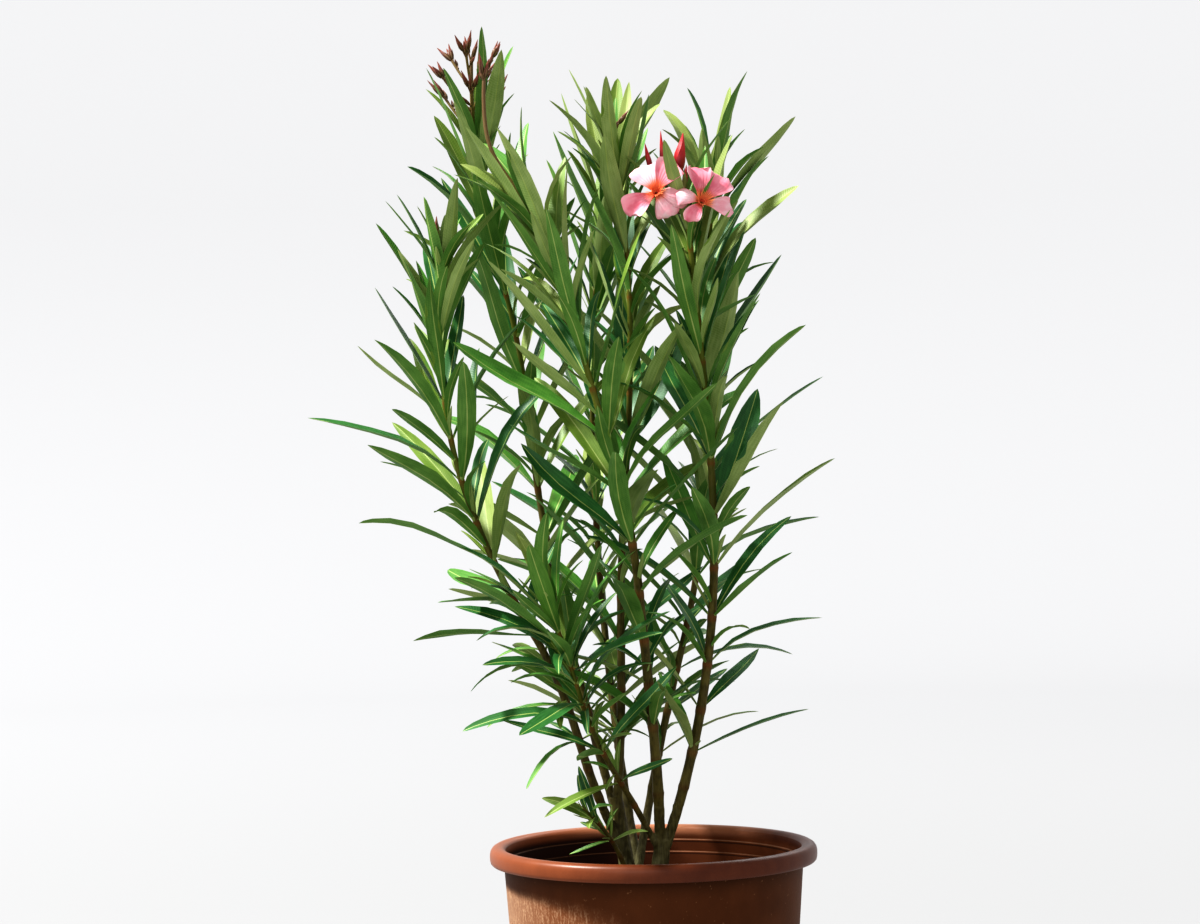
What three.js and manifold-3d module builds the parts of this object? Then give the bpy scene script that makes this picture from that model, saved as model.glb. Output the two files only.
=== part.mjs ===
// A potted oleander: a clump of slender canes rising from a round plastic pot, with narrow leaves in whorls
// of three, a truss of pink blossom on one cane and trusses of red-brown buds on four others.
// Millimetres, +Z up. The origin is the centre of the pot's flat underside, and the plant faces -Y.
import * as THREE from "three";
import { mergeVertices } from "three/addons/utils/BufferGeometryUtils.js";
import Module from "manifold-3d";

const wasm = await Module();
wasm.setup();

// ---- Driving sizes ----

const GAP = 0.3; // clearance between pieces that touch

const POT = {
  height: 255,
  baseRadius: 120,
  wallRadius: 137, // at the underside of the lip
  wall: 3,
  floor: 4,
  lipRadius: 150,
  lipHeight: 16,
  ledges: [14.6, 26], // depths of the two moulded steps inside, below the lip's top
  ledgeDepth: 1.8,
  drains: 6, // holes through the floor, on a circle of drainCircle radius
  drainRadius: 6,
  drainCircle: 70,
  sides: 40,
};

const SOIL = { edge: 213, crown: 217, crownRadius: 62, sides: 32 };
const GROUND = SOIL.crown + GAP;

// Each trunk is a short foot that forks into canes. The flare is how much wider it is at the soil, and dies out
// over FLARE_HEIGHT or so. A cane that comes straight from the ground flares by CANE_FLARE of its own radius.
const FLARE_HEIGHT = 9;
const CANE_FLARE = 0.45;
const TRUNKS = {
  left_trunk: { foot: [-22, 1], top: [-34, 4, 298], radius: [7.4, 6.4], flare: 3.6 },
  right_trunk: { foot: [4, -11], top: [8, -13, 260], radius: [8, 7.2], flare: 4 },
};

// Angles are in degrees. lean is a cane's tilt towards +X and back its tilt towards +Y, at even steps from
// foot to tip. stub is the length that is one with the trunk it forks from, and bare the length with no leaves.
// gaps, blade, spread and droop run from the lowest whorl to the highest: the space to the next whorl, the
// leaf's length, its angle from the stem and how far it arches over. fallen is the share of leaves lost from
// the lowest whorls, dying out halfway up, and shoots is the chance of a side shoot at a whorl.
// What most canes share, from the lowest whorl to the highest.
const HABIT = { gaps: [40, 50, 25], blade: [105, 150, 115], spread: [55, 40, 20], droop: [15, 5, 0] };
const CANES = [
  {
    name: "right_cane", trunk: "right_trunk", foot: [9, -12, 248], length: 582, radius: [4.9, 2.3], stub: 46,
    lean: [20, 10, 0, -5, -5], back: [-5, -5, -5, 0, 0],
    bare: 96, ...HABIT, fallen: 0.3, shoots: 0.1,
    phase: 0, seed: 1, masses: ["lower", "middle", "upper"],
  },
  {
    name: "front_cane", trunk: "right_trunk", foot: [6, -13, 248], length: 610, radius: [5.1, 2], stub: 46,
    lean: [0, -5, -5, -15, -15, -25], back: [-10, -15, -10, -5, 5, 10],
    bare: 120, ...HABIT, fallen: 0.3, shoots: 0.12,
    phase: 40, seed: 2, masses: ["lower", "middle", "upper"],
  },
  {
    name: "front_shoot", trunk: "right_trunk", foot: [4, -15, 252], length: 268, radius: [3.1, 1.4], stub: 34,
    lean: [-25, -30, -15, -20], back: [-25, -30, -25, 0],
    bare: 80, gaps: [35, 20, 10], blade: [80, 120, 110],
    spread: [60, 50, 20], droop: [10, 30, 0], fallen: 0, shoots: 0.1,
    phase: 80, seed: 3, masses: ["lower", "upper"],
  },
  {
    name: "left_cane", trunk: "left_trunk", foot: [-29, 0, 250], length: 570, radius: [4.3, 1.7], stub: 42,
    lean: [-25, -15, -30, -20, -5, 5], back: [-10, -10, -10, -5, 5, 5],
    bare: 110, gaps: [35, 40, 20], blade: [75, 150, 95],
    spread: [75, 40, 25], droop: [40, 5, 0], fallen: 0, shoots: 0.08,
    phase: 0, seed: 14, masses: ["lower", "middle", "upper"],
  },
  {
    name: "centre_cane", trunk: "left_trunk", foot: [-33, 3, 286], length: 606, radius: [4.2, 1.7], stub: 36,
    lean: [5, 0, 5, 0, -10], back: [0, 0, -5, 0, 0],
    bare: 70, ...HABIT, fallen: 0.2, shoots: 0.35,
    phase: 40, seed: 15, masses: ["lower", "middle", "upper"],
  },
  {
    name: "back_left_cane", trunk: "left_trunk", foot: [-34, 5, 284], length: 640, radius: [4.3, 1.6], stub: 40,
    lean: [-15, -15, -10, -5, -15, -5], back: [15, 15, 10, 0, -5, -5],
    bare: 96, ...HABIT, fallen: 0.1, shoots: 0.12,
    phase: 80, seed: 6, masses: ["lower", "middle", "upper"],
  },
  {
    name: "back_right_cane", foot: [-16, 21, GROUND], length: 668, radius: [4, 1.6],
    lean: [10, 15, 0, 5], back: [15, 10, 5, -5],
    bare: 120, ...HABIT, fallen: 0.2, shoots: 0.2,
    phase: 0, seed: 7, masses: ["lower", "middle", "upper"],
  },
  {
    name: "back_cane", foot: [-12, 34, GROUND], length: 680, radius: [4.2, 1.6],
    lean: [-10, -5, 0, 10], back: [25, 15, 0, -5],
    bare: 130, ...HABIT, fallen: 0.2, shoots: 0.2,
    phase: 40, seed: 8, masses: ["lower", "middle", "upper"],
  },
  {
    name: "low_shoot", foot: [-22, -17, GROUND], length: 104, radius: [2.6, 1.3],
    lean: [-10, -30, -45], back: [-10, -35, -45],
    bare: 52, gaps: [25, 20, 10], blade: [45, 60, 50],
    spread: [60, 40, 20], droop: [20, 10, 5], fallen: 0, shoots: 0,
    phase: 80, seed: 9, masses: ["tuft"],
  },
];

// A leaf's width for its length, how far its halves fold up for their width, and how uneven leaves are.
const LEAF = {
  slender: 0.172,
  fold: 0.16,
  thinness: 1 / 90,
  rings: [[0.27, 0.84], [0.62, 1]], // how far along, and how wide there as a part of the greatest width
  jitter: { turn: 16, spread: 9, length: 0.14, twist: 46, droop: 10 },
  room: 1.2, // clear space kept round a leaf
  turns: [0, 15, -15, 30, -30], // other ways round the stem that a leaf tries before it is left out
};
// Side shoots lift a little towards the light. Their whorls turn by turn degrees for each millimetre.
const SHOOT = {
  length: [56, 84],
  radius: [1.5, 0.9],
  spread: 34,
  lift: 0.35,
  bare: 0.34, // part of its length with no leaves
  gap: 17,
  blade: [42, 56],
  leafSpread: [38, 24], // at its foot and at its tip
  droop: 8,
  turn: 7,
};

// Trusses of buds stand on the tips of canes. The stalk leans by lean and back. Three side branches leave it at
// each level, a part of the way up, and they and the stalk's tip each end in a cluster of buds.
const TRUSSES = [
  {
    name: "back_left_buds", cane: "back_left_cane", stalk: 80, lean: [-6, 2], back: [0, 0],
    levels: [0.14, 0.4, 0.7], reach: 44, cluster: 3, bud: 17, seed: 4,
  },
  {
    name: "front_buds", cane: "front_cane", stalk: 124, lean: [-34, -34, -6, 4], back: [10, 8, 4, 0],
    levels: [], reach: 0, cluster: 5, bud: 18, seed: 9,
  },
  {
    name: "centre_buds", cane: "centre_cane", stalk: 27, lean: [-6, -4], back: [-4, 0],
    levels: [0.5], reach: 8, cluster: 2, bud: 15, seed: 13,
  },
  {
    name: "left_buds", cane: "left_cane", stalk: 22, lean: [-12, -16], back: [-10, -10],
    levels: [], reach: 0, cluster: 4, bud: 14, seed: 6,
  },
];
// Radii of the stalk, its side branches and its buds, how far branches and buds splay from what bears them, and
// how deep a bud's foot is sunk.
const BUDS = { stalk: 1.7, twig: 1.1, radius: 2.1, branch: 0.8, splay: 0.45, sunk: 2 };
const BLOSSOM = {
  name: "right_blossom",
  cane: "right_cane",
  neck: [7, 2.2], // length and radius of the stalk above the cane's tip
  pedicel: 1.3, // radius
  tube: [17, 1.7, 4], // length, radius at the calyx and at the mouth
  petal: [27, 22], // length and greatest width
  cupped: 0.34, // how far a petal curls forward, as a part of its length
  // Each open flower: where its calyx sits from the cane's tip, the way it faces, and its turn about that.
  flowers: [
    { at: [-26, -3, 19], faces: [-0.16, -0.92, 0.34], turn: 14 },
    { at: [5, -2, 11], faces: [0.4, -0.84, 0.34], turn: 40 },
  ],
  // Each unopened bud: where its foot sits from the cane's tip, its length, radius and lean.
  buds: [
    { at: [-12, 2, 42], length: 38, radius: 5, lean: 8 },
    { at: [-26, 4, 44], length: 34, radius: 2.6, lean: -3 },
    { at: [-37, 8, 46], length: 26, radius: 2.6, lean: -12 },
    { at: [-2, 14, 30], length: 22, radius: 2.4, lean: 6 },
  ],
};

const STEP = 5; // length of a cane's steps
const STEM_SIDES = 6;
const STEM_RING = 30; // space between a stem's rings
const LAST_WHORL = 8; // least space from a cane's highest whorl to its tip

// A mass begins this far below its first whorl: the lowest by a length, the others by a part of the space between
// whorls.
const MASS_FOOT = { lowest: 16, other: 0.36 };

// ---- Numbers and directions ----

// A repeatable source of numbers from 0 to 1.
function seeded(seed) {
  let state = seed * 7919 + 12345;
  return () => {
    state = (state * 48271) % 2147483647;
    return state / 2147483647;
  };
}

const radians = THREE.MathUtils.degToRad;
const mix = THREE.MathUtils.lerp;
const point = (x, y, z) => new THREE.Vector3(x, y, z);

// The value at t, from 0 to 1, of a list of values at even steps.
function along(values, t) {
  const place = Math.min(Math.max(t, 0), 1) * (values.length - 1);
  const i = Math.min(Math.floor(place), values.length - 2);
  return mix(values[i], values[i + 1], place - i);
}

// The direction of a stem that tilts by lean towards +X and by back towards +Y.
const tilted = (lean, back) => point(Math.tan(radians(lean)), Math.tan(radians(back)), 1).normalize();

// ---- Solids ----

// A closed body through rings of points that turn anticlockwise about the way they go. An end is flat, or runs
// out to the point given for it. In a flat body the second half of each ring lies under the first, and its faces
// are split along the lines that mirror theirs, so that a twist never makes the two sides cross.
function loft(rings, start, end, flat = false) {
  const sides = rings[0].length;
  const positions = rings.flat().flatMap((p) => [p.x, p.y, p.z]);
  const faces = [];
  const add = (p) => positions.push(p.x, p.y, p.z) / 3 - 1;
  const first = start && add(start);
  const last = end && add(end);
  const top = (rings.length - 1) * sides;
  for (let j = 0; j < sides; j += 1) {
    const k = (j + 1) % sides;
    const [split, corner] = flat && j >= sides / 2 ? [k, j] : [j, k];
    for (let i = 0; i < top; i += sides) {
      faces.push(i + j, i + k, i + sides + corner, i + split, i + sides + k, i + sides + j);
    }
    if (start) faces.push(first, k, j);
    else if (j > 0 && k > 0) faces.push(0, k, j);
    if (end) faces.push(last, top + j, top + k);
    else if (j > 0 && k > 0) faces.push(top, top + j, top + k);
  }
  return new THREE.BufferGeometry()
    .setAttribute("position", new THREE.Float32BufferAttribute(positions, 3))
    .setIndex(faces);
}

// The solid of a geometry, for cutting and joining.
function solidOf(geometry) {
  const bare = geometry.clone();
  bare.deleteAttribute("normal");
  bare.deleteAttribute("uv");
  const merged = mergeVertices(bare, 1e-3);
  return new wasm.Manifold(
    new wasm.Mesh({
      numProp: 3,
      vertProperties: merged.attributes.position.array,
      triVerts: new Uint32Array(merged.index.array),
    }),
  );
}

// The geometry of a solid, once it is cut or joined.
function geometryOf(solid) {
  const mesh = solid.getMesh();
  return new THREE.BufferGeometry()
    .setAttribute("position", new THREE.BufferAttribute(mesh.vertProperties, 3))
    .setIndex(new THREE.BufferAttribute(mesh.triVerts, 1));
}

const joined = (geometries) => geometries.map(solidOf).reduce((whole, part) => whole.add(part));

// A ring of a round stem, square to the way it runs.
function ring(centre, way, radius, sides, across = point(1, 0, 0)) {
  const u = across.clone().addScaledVector(way, -across.dot(way)).normalize();
  const v = way.clone().cross(u);
  return Array.from({ length: sides }, (_, j) => {
    const a = (2 * Math.PI * j) / sides;
    return centre.clone().addScaledVector(u, radius * Math.cos(a)).addScaledVector(v, radius * Math.sin(a));
  });
}

// ---- Canes ----

// The line of a stem from its foot, as points STEP apart with the way it runs at each.
function walk(foot, length, lean, back) {
  const count = Math.round(length / STEP);
  const step = length / count;
  const line = [];
  let place = point(...foot);
  for (let i = 0; i <= count; i += 1) {
    line.push({ place, way: tilted(along(lean, i / count), along(back, i / count)) });
    const middle = (i + 0.5) / count;
    place = place.clone().addScaledVector(tilted(along(lean, middle), along(back, middle)), step);
  }
  return { line, step, length };
}

// The place and way on a stem's line, s along it.
function on(stem, s) {
  const i = Math.min(Math.max(Math.floor(s / stem.step), 0), stem.line.length - 2);
  const { place, way } = stem.line[i];
  const next = stem.line[i + 1];
  const part = s / stem.step - i;
  return { place: place.clone().lerp(next.place, part), way: way.clone().lerp(next.way, part).normalize() };
}

const girth = (cane, s) => mix(cane.radius[0], cane.radius[1], s / cane.length);

// A stretch of a stem, from and to lengths along its line. A level foot is cut flat on the ground.
function stretch(stem, radiusAt, from, to, sides, { level = false, spacing = STEM_RING } = {}) {
  const count = Math.max(1, Math.round((to - from) / spacing));
  const rings = Array.from({ length: count + 1 }, (_, i) => {
    const s = mix(from, to, i / count);
    const { place, way } = on(stem, s);
    return ring(place, level && i === 0 ? point(0, 0, 1) : way, radiusAt(s), sides);
  });
  return loft(rings);
}

// ---- Leaves ----

// A leaf starts inside the stem at root and leaves it on the side that out points to, spread degrees off the
// stem's way and arching over by droop more at its tip. It turns about its own midrib by twist.
function spine(leaf, t) {
  const bend = radians(leaf.droop);
  const first = radians(leaf.spread);
  const angle = first + bend * t;
  const flat = Math.abs(bend) < 1e-4;
  const up = flat ? Math.cos(first) * t : (Math.sin(angle) - Math.sin(first)) / bend;
  const out = flat ? Math.sin(first) * t : (Math.cos(first) - Math.cos(angle)) / bend;
  const centre = leaf.root.clone().addScaledVector(leaf.way, leaf.length * up);
  centre.addScaledVector(leaf.out, leaf.length * out);
  const side = leaf.way.clone().cross(leaf.out);
  const normal = leaf.way.clone().multiplyScalar(Math.sin(angle)).addScaledVector(leaf.out, -Math.cos(angle));
  const turn = radians(leaf.twist) * t;
  const across = side.clone().multiplyScalar(Math.cos(turn)).addScaledVector(normal, Math.sin(turn));
  normal.multiplyScalar(Math.cos(turn)).addScaledVector(side, -Math.sin(turn));
  return { centre, across, normal };
}

// The leaf's body: folded up a little along its midrib. Room thickens and widens it, for finding what it would
// touch.
function blade(leaf, room = 0) {
  const half = leaf.width / 2;
  const thick = (leaf.length * LEAF.thinness) / 2 + room;
  const rings = LEAF.rings.map(([t, wide]) => {
    const { centre, across, normal } = spine(leaf, t);
    const reach = half * wide + room;
    const rim = centre.clone().addScaledVector(normal, LEAF.fold * reach);
    const edge = (way) => rim.clone().addScaledVector(across, way * reach);
    const face = (way) => centre.clone().addScaledVector(normal, way * thick);
    return [edge(1), face(1), edge(-1), face(-1)];
  });
  const root = leaf.root.clone().addScaledVector(leaf.out, -leaf.sunk);
  return loft(rings, root, spine(leaf, 1).centre, true);
}

// The points, faces, edges and box of a geometry, as plain numbers.
function shellOf(geometry) {
  const flat = geometry.attributes.position.array;
  const points = Array.from({ length: flat.length / 3 }, (_, i) => Array.from(flat.slice(3 * i, 3 * i + 3)));
  const faces = [];
  const edges = [];
  const index = geometry.index.array;
  for (let i = 0; i < index.length; i += 3) {
    const corners = [index[i], index[i + 1], index[i + 2]];
    faces.push(corners.map((c) => points[c]));
    corners.forEach((c, k) => {
      const next = corners[(k + 1) % 3];
      if (c < next) edges.push([points[c], points[next]]);
    });
  }
  const low = [0, 1, 2].map((axis) => Math.min(...points.map((p) => p[axis])));
  const high = [0, 1, 2].map((axis) => Math.max(...points.map((p) => p[axis])));
  return { faces, edges, low, high };
}

const minus = (a, b) => [a[0] - b[0], a[1] - b[1], a[2] - b[2]];
const cross = (a, b) => [a[1] * b[2] - a[2] * b[1], a[2] * b[0] - a[0] * b[2], a[0] * b[1] - a[1] * b[0]];
const dot = (a, b) => a[0] * b[0] + a[1] * b[1] + a[2] * b[2];

// True where an edge passes through a face.
function pierces([a, b], [p, q, r]) {
  const way = minus(b, a);
  const one = minus(q, p);
  const two = minus(r, p);
  const square = cross(way, two);
  const scale = dot(one, square);
  if (Math.abs(scale) < 1e-9) return false;
  const from = minus(a, p);
  const u = dot(from, square) / scale;
  if (u < 0 || u > 1) return false;
  const turned = cross(from, one);
  const v = dot(way, turned) / scale;
  if (v < 0 || u + v > 1) return false;
  const t = dot(two, turned) / scale;
  return t >= 0 && t <= 1;
}

const apart = (a, b) => [0, 1, 2].some((axis) => a.low[axis] > b.high[axis] || b.low[axis] > a.high[axis]);
const meets = (a, b) =>
  !apart(a, b) &&
  (a.edges.some((edge) => b.faces.some((face) => pierces(edge, face))) ||
    b.edges.some((edge) => a.faces.some((face) => pierces(edge, face))));

// The leaves of one whorl, as they would grow: three round the stem, each uneven in its own way.
function whorl({ place, way }, radius, turn, sizes, random) {
  const { jitter } = LEAF;
  const uneven = (amount) => amount * (2 * random() - 1);
  return [0, 120, 240].map((third) => {
    const leaf = { place, way, radius, turn: turn + third + uneven(jitter.turn) };
    leaf.spread = sizes.spread + uneven(jitter.spread);
    leaf.length = sizes.length * (1 + uneven(jitter.length));
    leaf.width = leaf.length * LEAF.slender;
    leaf.twist = uneven(jitter.twist);
    leaf.droop = sizes.droop + uneven(jitter.droop);
    leaf.fallen = random() < (sizes.fallen ?? 0);
    return leaf;
  });
}

// The leaf turned round its stem by extra degrees and rooted in it.
function rooted(leaf, extra) {
  const turn = radians(leaf.turn + extra);
  const side = point(Math.cos(turn), Math.sin(turn), 0);
  const out = side.addScaledVector(leaf.way, -side.dot(leaf.way)).normalize();
  return { ...leaf, out, root: leaf.place.clone(), sunk: leaf.radius * 0.6 };
}

// The whorls up a cane: how far along each is, and the sizes of its leaves.
function whorls(cane) {
  const found = [];
  let s = cane.bare;
  let turn = cane.phase;
  while (s < cane.length - LAST_WHORL) {
    const t = (s - cane.bare) / (cane.length - cane.bare);
    const length = along(cane.blade, t);
    const fallen = Math.max(0, cane.fallen * (1 - 2 * t));
    found.push({ s, turn, length, spread: along(cane.spread, t), droop: along(cane.droop, t), fallen });
    s += along(cane.gaps, t);
    turn += 60;
  }
  return found;
}

// Side shoots: a thin twig from a leaf's foot, with small leaves of its own.
function shoot({ place, way }, radius, turn, random) {
  const grown = rooted({ place, way, radius, turn }, 0);
  const length = mix(SHOOT.length[0], SHOOT.length[1], random());
  const tip = grown.way.clone().multiplyScalar(Math.cos(radians(SHOOT.spread)));
  tip.addScaledVector(grown.out, Math.sin(radians(SHOOT.spread))).add(point(0, 0, SHOOT.lift)).normalize();
  const leaves = [];
  for (let s = length * SHOOT.bare; s < length; s += SHOOT.gap) {
    const foot = { place: place.clone().addScaledVector(tip, s), way: tip };
    const sizes = {
      length: mix(SHOOT.blade[0], SHOOT.blade[1], random()),
      spread: mix(SHOOT.leafSpread[0], SHOOT.leafSpread[1], s / length),
      droop: SHOOT.droop,
    };
    leaves.push(...whorl(foot, SHOOT.radius[1], turn + s * SHOOT.turn, sizes, random));
  }
  const twig = loft([
    ring(place, tip, SHOOT.radius[0], 3, grown.out),
    ring(place.clone().addScaledVector(tip, length), tip, SHOOT.radius[1], 3, grown.out),
  ]);
  return { twig, leaves };
}

// ---- The plant, worked out before it is made ----

const canes = CANES.map((cane) => ({ ...cane, stem: walk(cane.foot, cane.length, cane.lean, cane.back) }));
const caneNamed = (name) => canes.find((cane) => cane.name === name);

// What a leaf keeps clear of: the stems, in short stretches a little thicker than life, the trusses, and the
// leaves before it.
const limbs = canes.flatMap((cane) =>
  Array.from({ length: Math.ceil(cane.length / STEM_RING) }, (_, i) => {
    const from = i * STEM_RING;
    const to = Math.min(cane.length, from + STEM_RING);
    const shell = shellOf(stretch(cane.stem, (s) => girth(cane, s) + LEAF.room, from, to, STEM_SIDES));
    return { cane: cane.name, shell };
  }),
);
const taken = [];

// The first way round its stem in which a leaf touches nothing, if there is one.
function settle(leaf, owner) {
  if (leaf.fallen) return null;
  for (const extra of LEAF.turns) {
    const tried = rooted(leaf, extra);
    const shell = shellOf(blade(tried, LEAF.room));
    const hitsLimb = limbs.some((limb) => limb.cane !== owner.cane && meets(shell, limb.shell));
    if (!hitsLimb && !taken.some((other) => other.whorl !== owner.whorl && meets(shell, other.shell))) {
      taken.push({ ...owner, shell: shellOf(blade(tried)) });
      return tried;
    }
  }
  return null;
}

// The bodies of one mass: its stretch of stem, and the leaves and side shoots that root in it.
function mass(cane, levels, from, to) {
  const bodies = [stretch(cane.stem, (s) => girth(cane, s), from + GAP / 2, to - GAP / 2, STEM_SIDES)];
  for (const level of levels) {
    const foot = on(cane.stem, level.s);
    const owner = { cane: cane.name, whorl: `${cane.name} ${Math.round(level.s)}` };
    for (const leaf of whorl(foot, girth(cane, level.s), level.turn, level, cane.random)) {
      const settled = settle(leaf, owner);
      if (settled) bodies.push(blade(settled));
    }
    const [chance, side] = [cane.random(), cane.random()];
    if (chance < cane.shoots) {
      const turn = level.turn + 60 + 120 * Math.floor(3 * side);
      const { twig, leaves } = shoot(foot, girth(cane, level.s), turn, cane.random);
      const twigShell = shellOf(twig);
      if (limbs.some((limb) => limb.cane !== cane.name && meets(twigShell, limb.shell))) continue;
      if (taken.some((other) => meets(twigShell, other.shell))) continue;
      bodies.push(twig);
      taken.push({ ...owner, shell: twigShell });
      for (const leaf of leaves) {
        const settled = settle(leaf, owner);
        if (settled) bodies.push(blade(settled));
      }
    }
  }
  return bodies;
}

// ---- Materials ----

const finish = (color, roughness) => new THREE.MeshStandardMaterial({ color, roughness, metalness: 0 });
const MATERIALS = {
  pot: finish(0x9a4a2c, 0.5),
  soil: finish(0x2b1d14, 0.95),
  bark: finish(0x5a4428, 0.7),
  leaves: finish(0x3f7a2e, 0.45),
  buds: finish(0x8a3b26, 0.6),
  petals: finish(0xe98a95, 0.6),
};

const plant = new THREE.Group();
plant.name = "potted_oleander";

function place(name, shape, material) {
  const mesh = new THREE.Mesh(shape.isBufferGeometry ? shape : geometryOf(shape), material);
  mesh.name = name;
  plant.add(mesh);
}

// ---- Pot and soil ----

const turned = (profile, sides) =>
  new THREE.LatheGeometry(profile.map(([r, z]) => new THREE.Vector2(r, z)), sides).rotateX(Math.PI / 2);

function pot() {
  const { height, baseRadius, wallRadius, wall, floor, lipRadius, lipHeight, ledges, ledgeDepth } = POT;
  const under = height - lipHeight;
  const mouth = wallRadius - wall;
  const bevel = 2.5;
  // The rolled lip, as part of an ellipse from under its outer edge round to its inner edge.
  const middle = (lipRadius + mouth) / 2;
  const lip = [];
  for (let a = -70; a <= 190; a += 37) {
    const across = ((lipRadius - mouth) / 2) * Math.cos(radians(a));
    lip.push([middle + across, under + (lipHeight / 2) * (1 + Math.sin(radians(a)))]);
  }
  const inside = ledges.flatMap((depth, i) => [
    [mouth - ledgeDepth * i, height - depth + 1.5],
    [mouth - ledgeDepth * (i + 1), height - depth],
  ]);
  const outer = [[0, 0], [baseRadius - bevel, 0], [baseRadius, bevel], [wallRadius, under]];
  const inner = [[baseRadius - wall - ledgeDepth, floor], [0, floor]];
  let body = solidOf(turned([...outer, ...lip, ...inside, ...inner], POT.sides));
  for (let i = 0; i < POT.drains; i += 1) {
    const a = (2 * Math.PI * i) / POT.drains;
    const drain = new THREE.CylinderGeometry(POT.drainRadius, POT.drainRadius, 4 * floor, 8);
    drain.rotateX(Math.PI / 2).translate(POT.drainCircle * Math.cos(a), POT.drainCircle * Math.sin(a), 0);
    body = body.subtract(solidOf(drain));
  }
  return body;
}

// The soil fills the pot to a low crown, clear of the wall and the floor by a hair more than the gap.
function soil() {
  const { baseRadius, wallRadius, wall, floor, height, lipHeight, ledgeDepth } = POT;
  const foot = baseRadius - wall - ledgeDepth - GAP;
  const up = (SOIL.edge - floor) / (height - lipHeight - floor);
  const edge = mix(foot, wallRadius - wall - 2 * ledgeDepth - GAP, up) - 2 * GAP;
  const bottom = floor + GAP;
  const surface = [[edge, SOIL.edge], [SOIL.crownRadius, SOIL.crown], [0, SOIL.crown]];
  return turned([[0, bottom], [foot - GAP, bottom], ...surface], SOIL.sides);
}

place("pot", pot(), MATERIALS.pot);
place("soil", soil(), MATERIALS.soil);

// ---- Trunks, with the first lengths of the canes that fork from them ----

for (const [name, trunk] of Object.entries(TRUNKS)) {
  const foot = point(...trunk.foot, GROUND);
  const top = point(...trunk.top);
  const rise = top.z - foot.z;
  const way = top.clone().sub(foot).normalize();
  const rings = [0, 0.08, 0.2, 0.45, 1].map((t) => {
    const flare = trunk.flare * Math.exp((-t * rise) / FLARE_HEIGHT);
    const radius = mix(trunk.radius[0], trunk.radius[1], t) + flare;
    return ring(foot.clone().lerp(top, t), t === 0 ? point(0, 0, 1) : way, radius, 12);
  });
  const forks = canes
    .filter((cane) => cane.trunk === name)
    .map((cane) => stretch(cane.stem, (s) => girth(cane, s), 0, cane.stub, 8));
  place(name, joined([loft(rings), ...forks]), MATERIALS.bark);
}

// ---- Trusses of buds ----

const aside = (axis) => (Math.abs(axis.x) > 0.9 ? point(0, 1, 0) : point(1, 0, 0));

// A pointed bud, widest two fifths of the way along.
function bud(foot, way, length, radius, sides = 4) {
  const middle = ring(foot.clone().addScaledVector(way, 0.4 * length), way, radius, sides, aside(way));
  return loft([middle], foot, foot.clone().addScaledVector(way, length));
}

function twig(from, to, radius) {
  const way = to.clone().sub(from).normalize();
  return loft([ring(from, way, radius, 3, aside(way)), ring(to, way, radius * 0.8, 3, aside(way))]);
}

function budTruss(truss) {
  const cane = caneNamed(truss.cane);
  const random = seeded(truss.seed);
  const { place: tip, way } = on(cane.stem, cane.length);
  const stalk = walk(tip.addScaledVector(way, GAP).toArray(), truss.stalk, truss.lean, truss.back);
  stalk.line[0].way = way;
  const bodies = [stretch(stalk, () => BUDS.stalk, 0, truss.stalk, 5, { spacing: 24 })];
  const cluster = (centre, axis) => {
    for (let i = 0; i < truss.cluster; i += 1) {
      const turn = (2 * Math.PI * (i + random())) / truss.cluster;
      const out = point(Math.cos(turn), Math.sin(turn), 0.25).multiplyScalar(BUDS.splay).add(axis).normalize();
      const length = truss.bud * mix(0.8, 1.2, random());
      bodies.push(bud(centre.clone().addScaledVector(axis, -BUDS.sunk), out, length, BUDS.radius));
    }
  };
  truss.levels.forEach((level, i) => {
    const { place: base, way: up } = on(stalk, level * truss.stalk);
    for (let k = 0; k < 3; k += 1) {
      const turn = radians(120 * k + 60 * i + 40 * random());
      const out = point(Math.cos(turn), Math.sin(turn), 0).multiplyScalar(BUDS.branch).add(up).normalize();
      const end = base.clone().addScaledVector(out, truss.reach * (1.1 - 0.5 * level));
      bodies.push(twig(base, end, BUDS.twig));
      cluster(end, out);
    }
  });
  const end = on(stalk, truss.stalk);
  cluster(end.place, end.way);
  return bodies;
}

// Trusses are made before the leaves, which keep clear of them.
const addTruss = (name, bodies, material) => {
  limbs.push(...bodies.map((body) => ({ cane: name, shell: shellOf(body) })));
  place(name, joined(bodies), material);
};
for (const truss of TRUSSES) addTruss(truss.name, budTruss(truss), MATERIALS.buds);

// ---- The truss of blossom ----

function petal(mouth, faces, out, length, width) {
  const side = faces.clone().cross(out).normalize();
  const rings = [0.66, 1].map((t, i) => {
    const half = (width / 2) * [1, 0.66][i];
    const centre = mouth.clone().addScaledVector(out, length * t);
    centre.addScaledVector(faces, length * BLOSSOM.cupped * Math.sin(t * 2));
    const edge = (way) => centre.clone().addScaledVector(side, way * half);
    const face = (way) => centre.clone().addScaledVector(faces, way * 0.5);
    return [edge(1), face(1), edge(-1), face(-1)];
  });
  return loft(rings, mouth);
}

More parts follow.
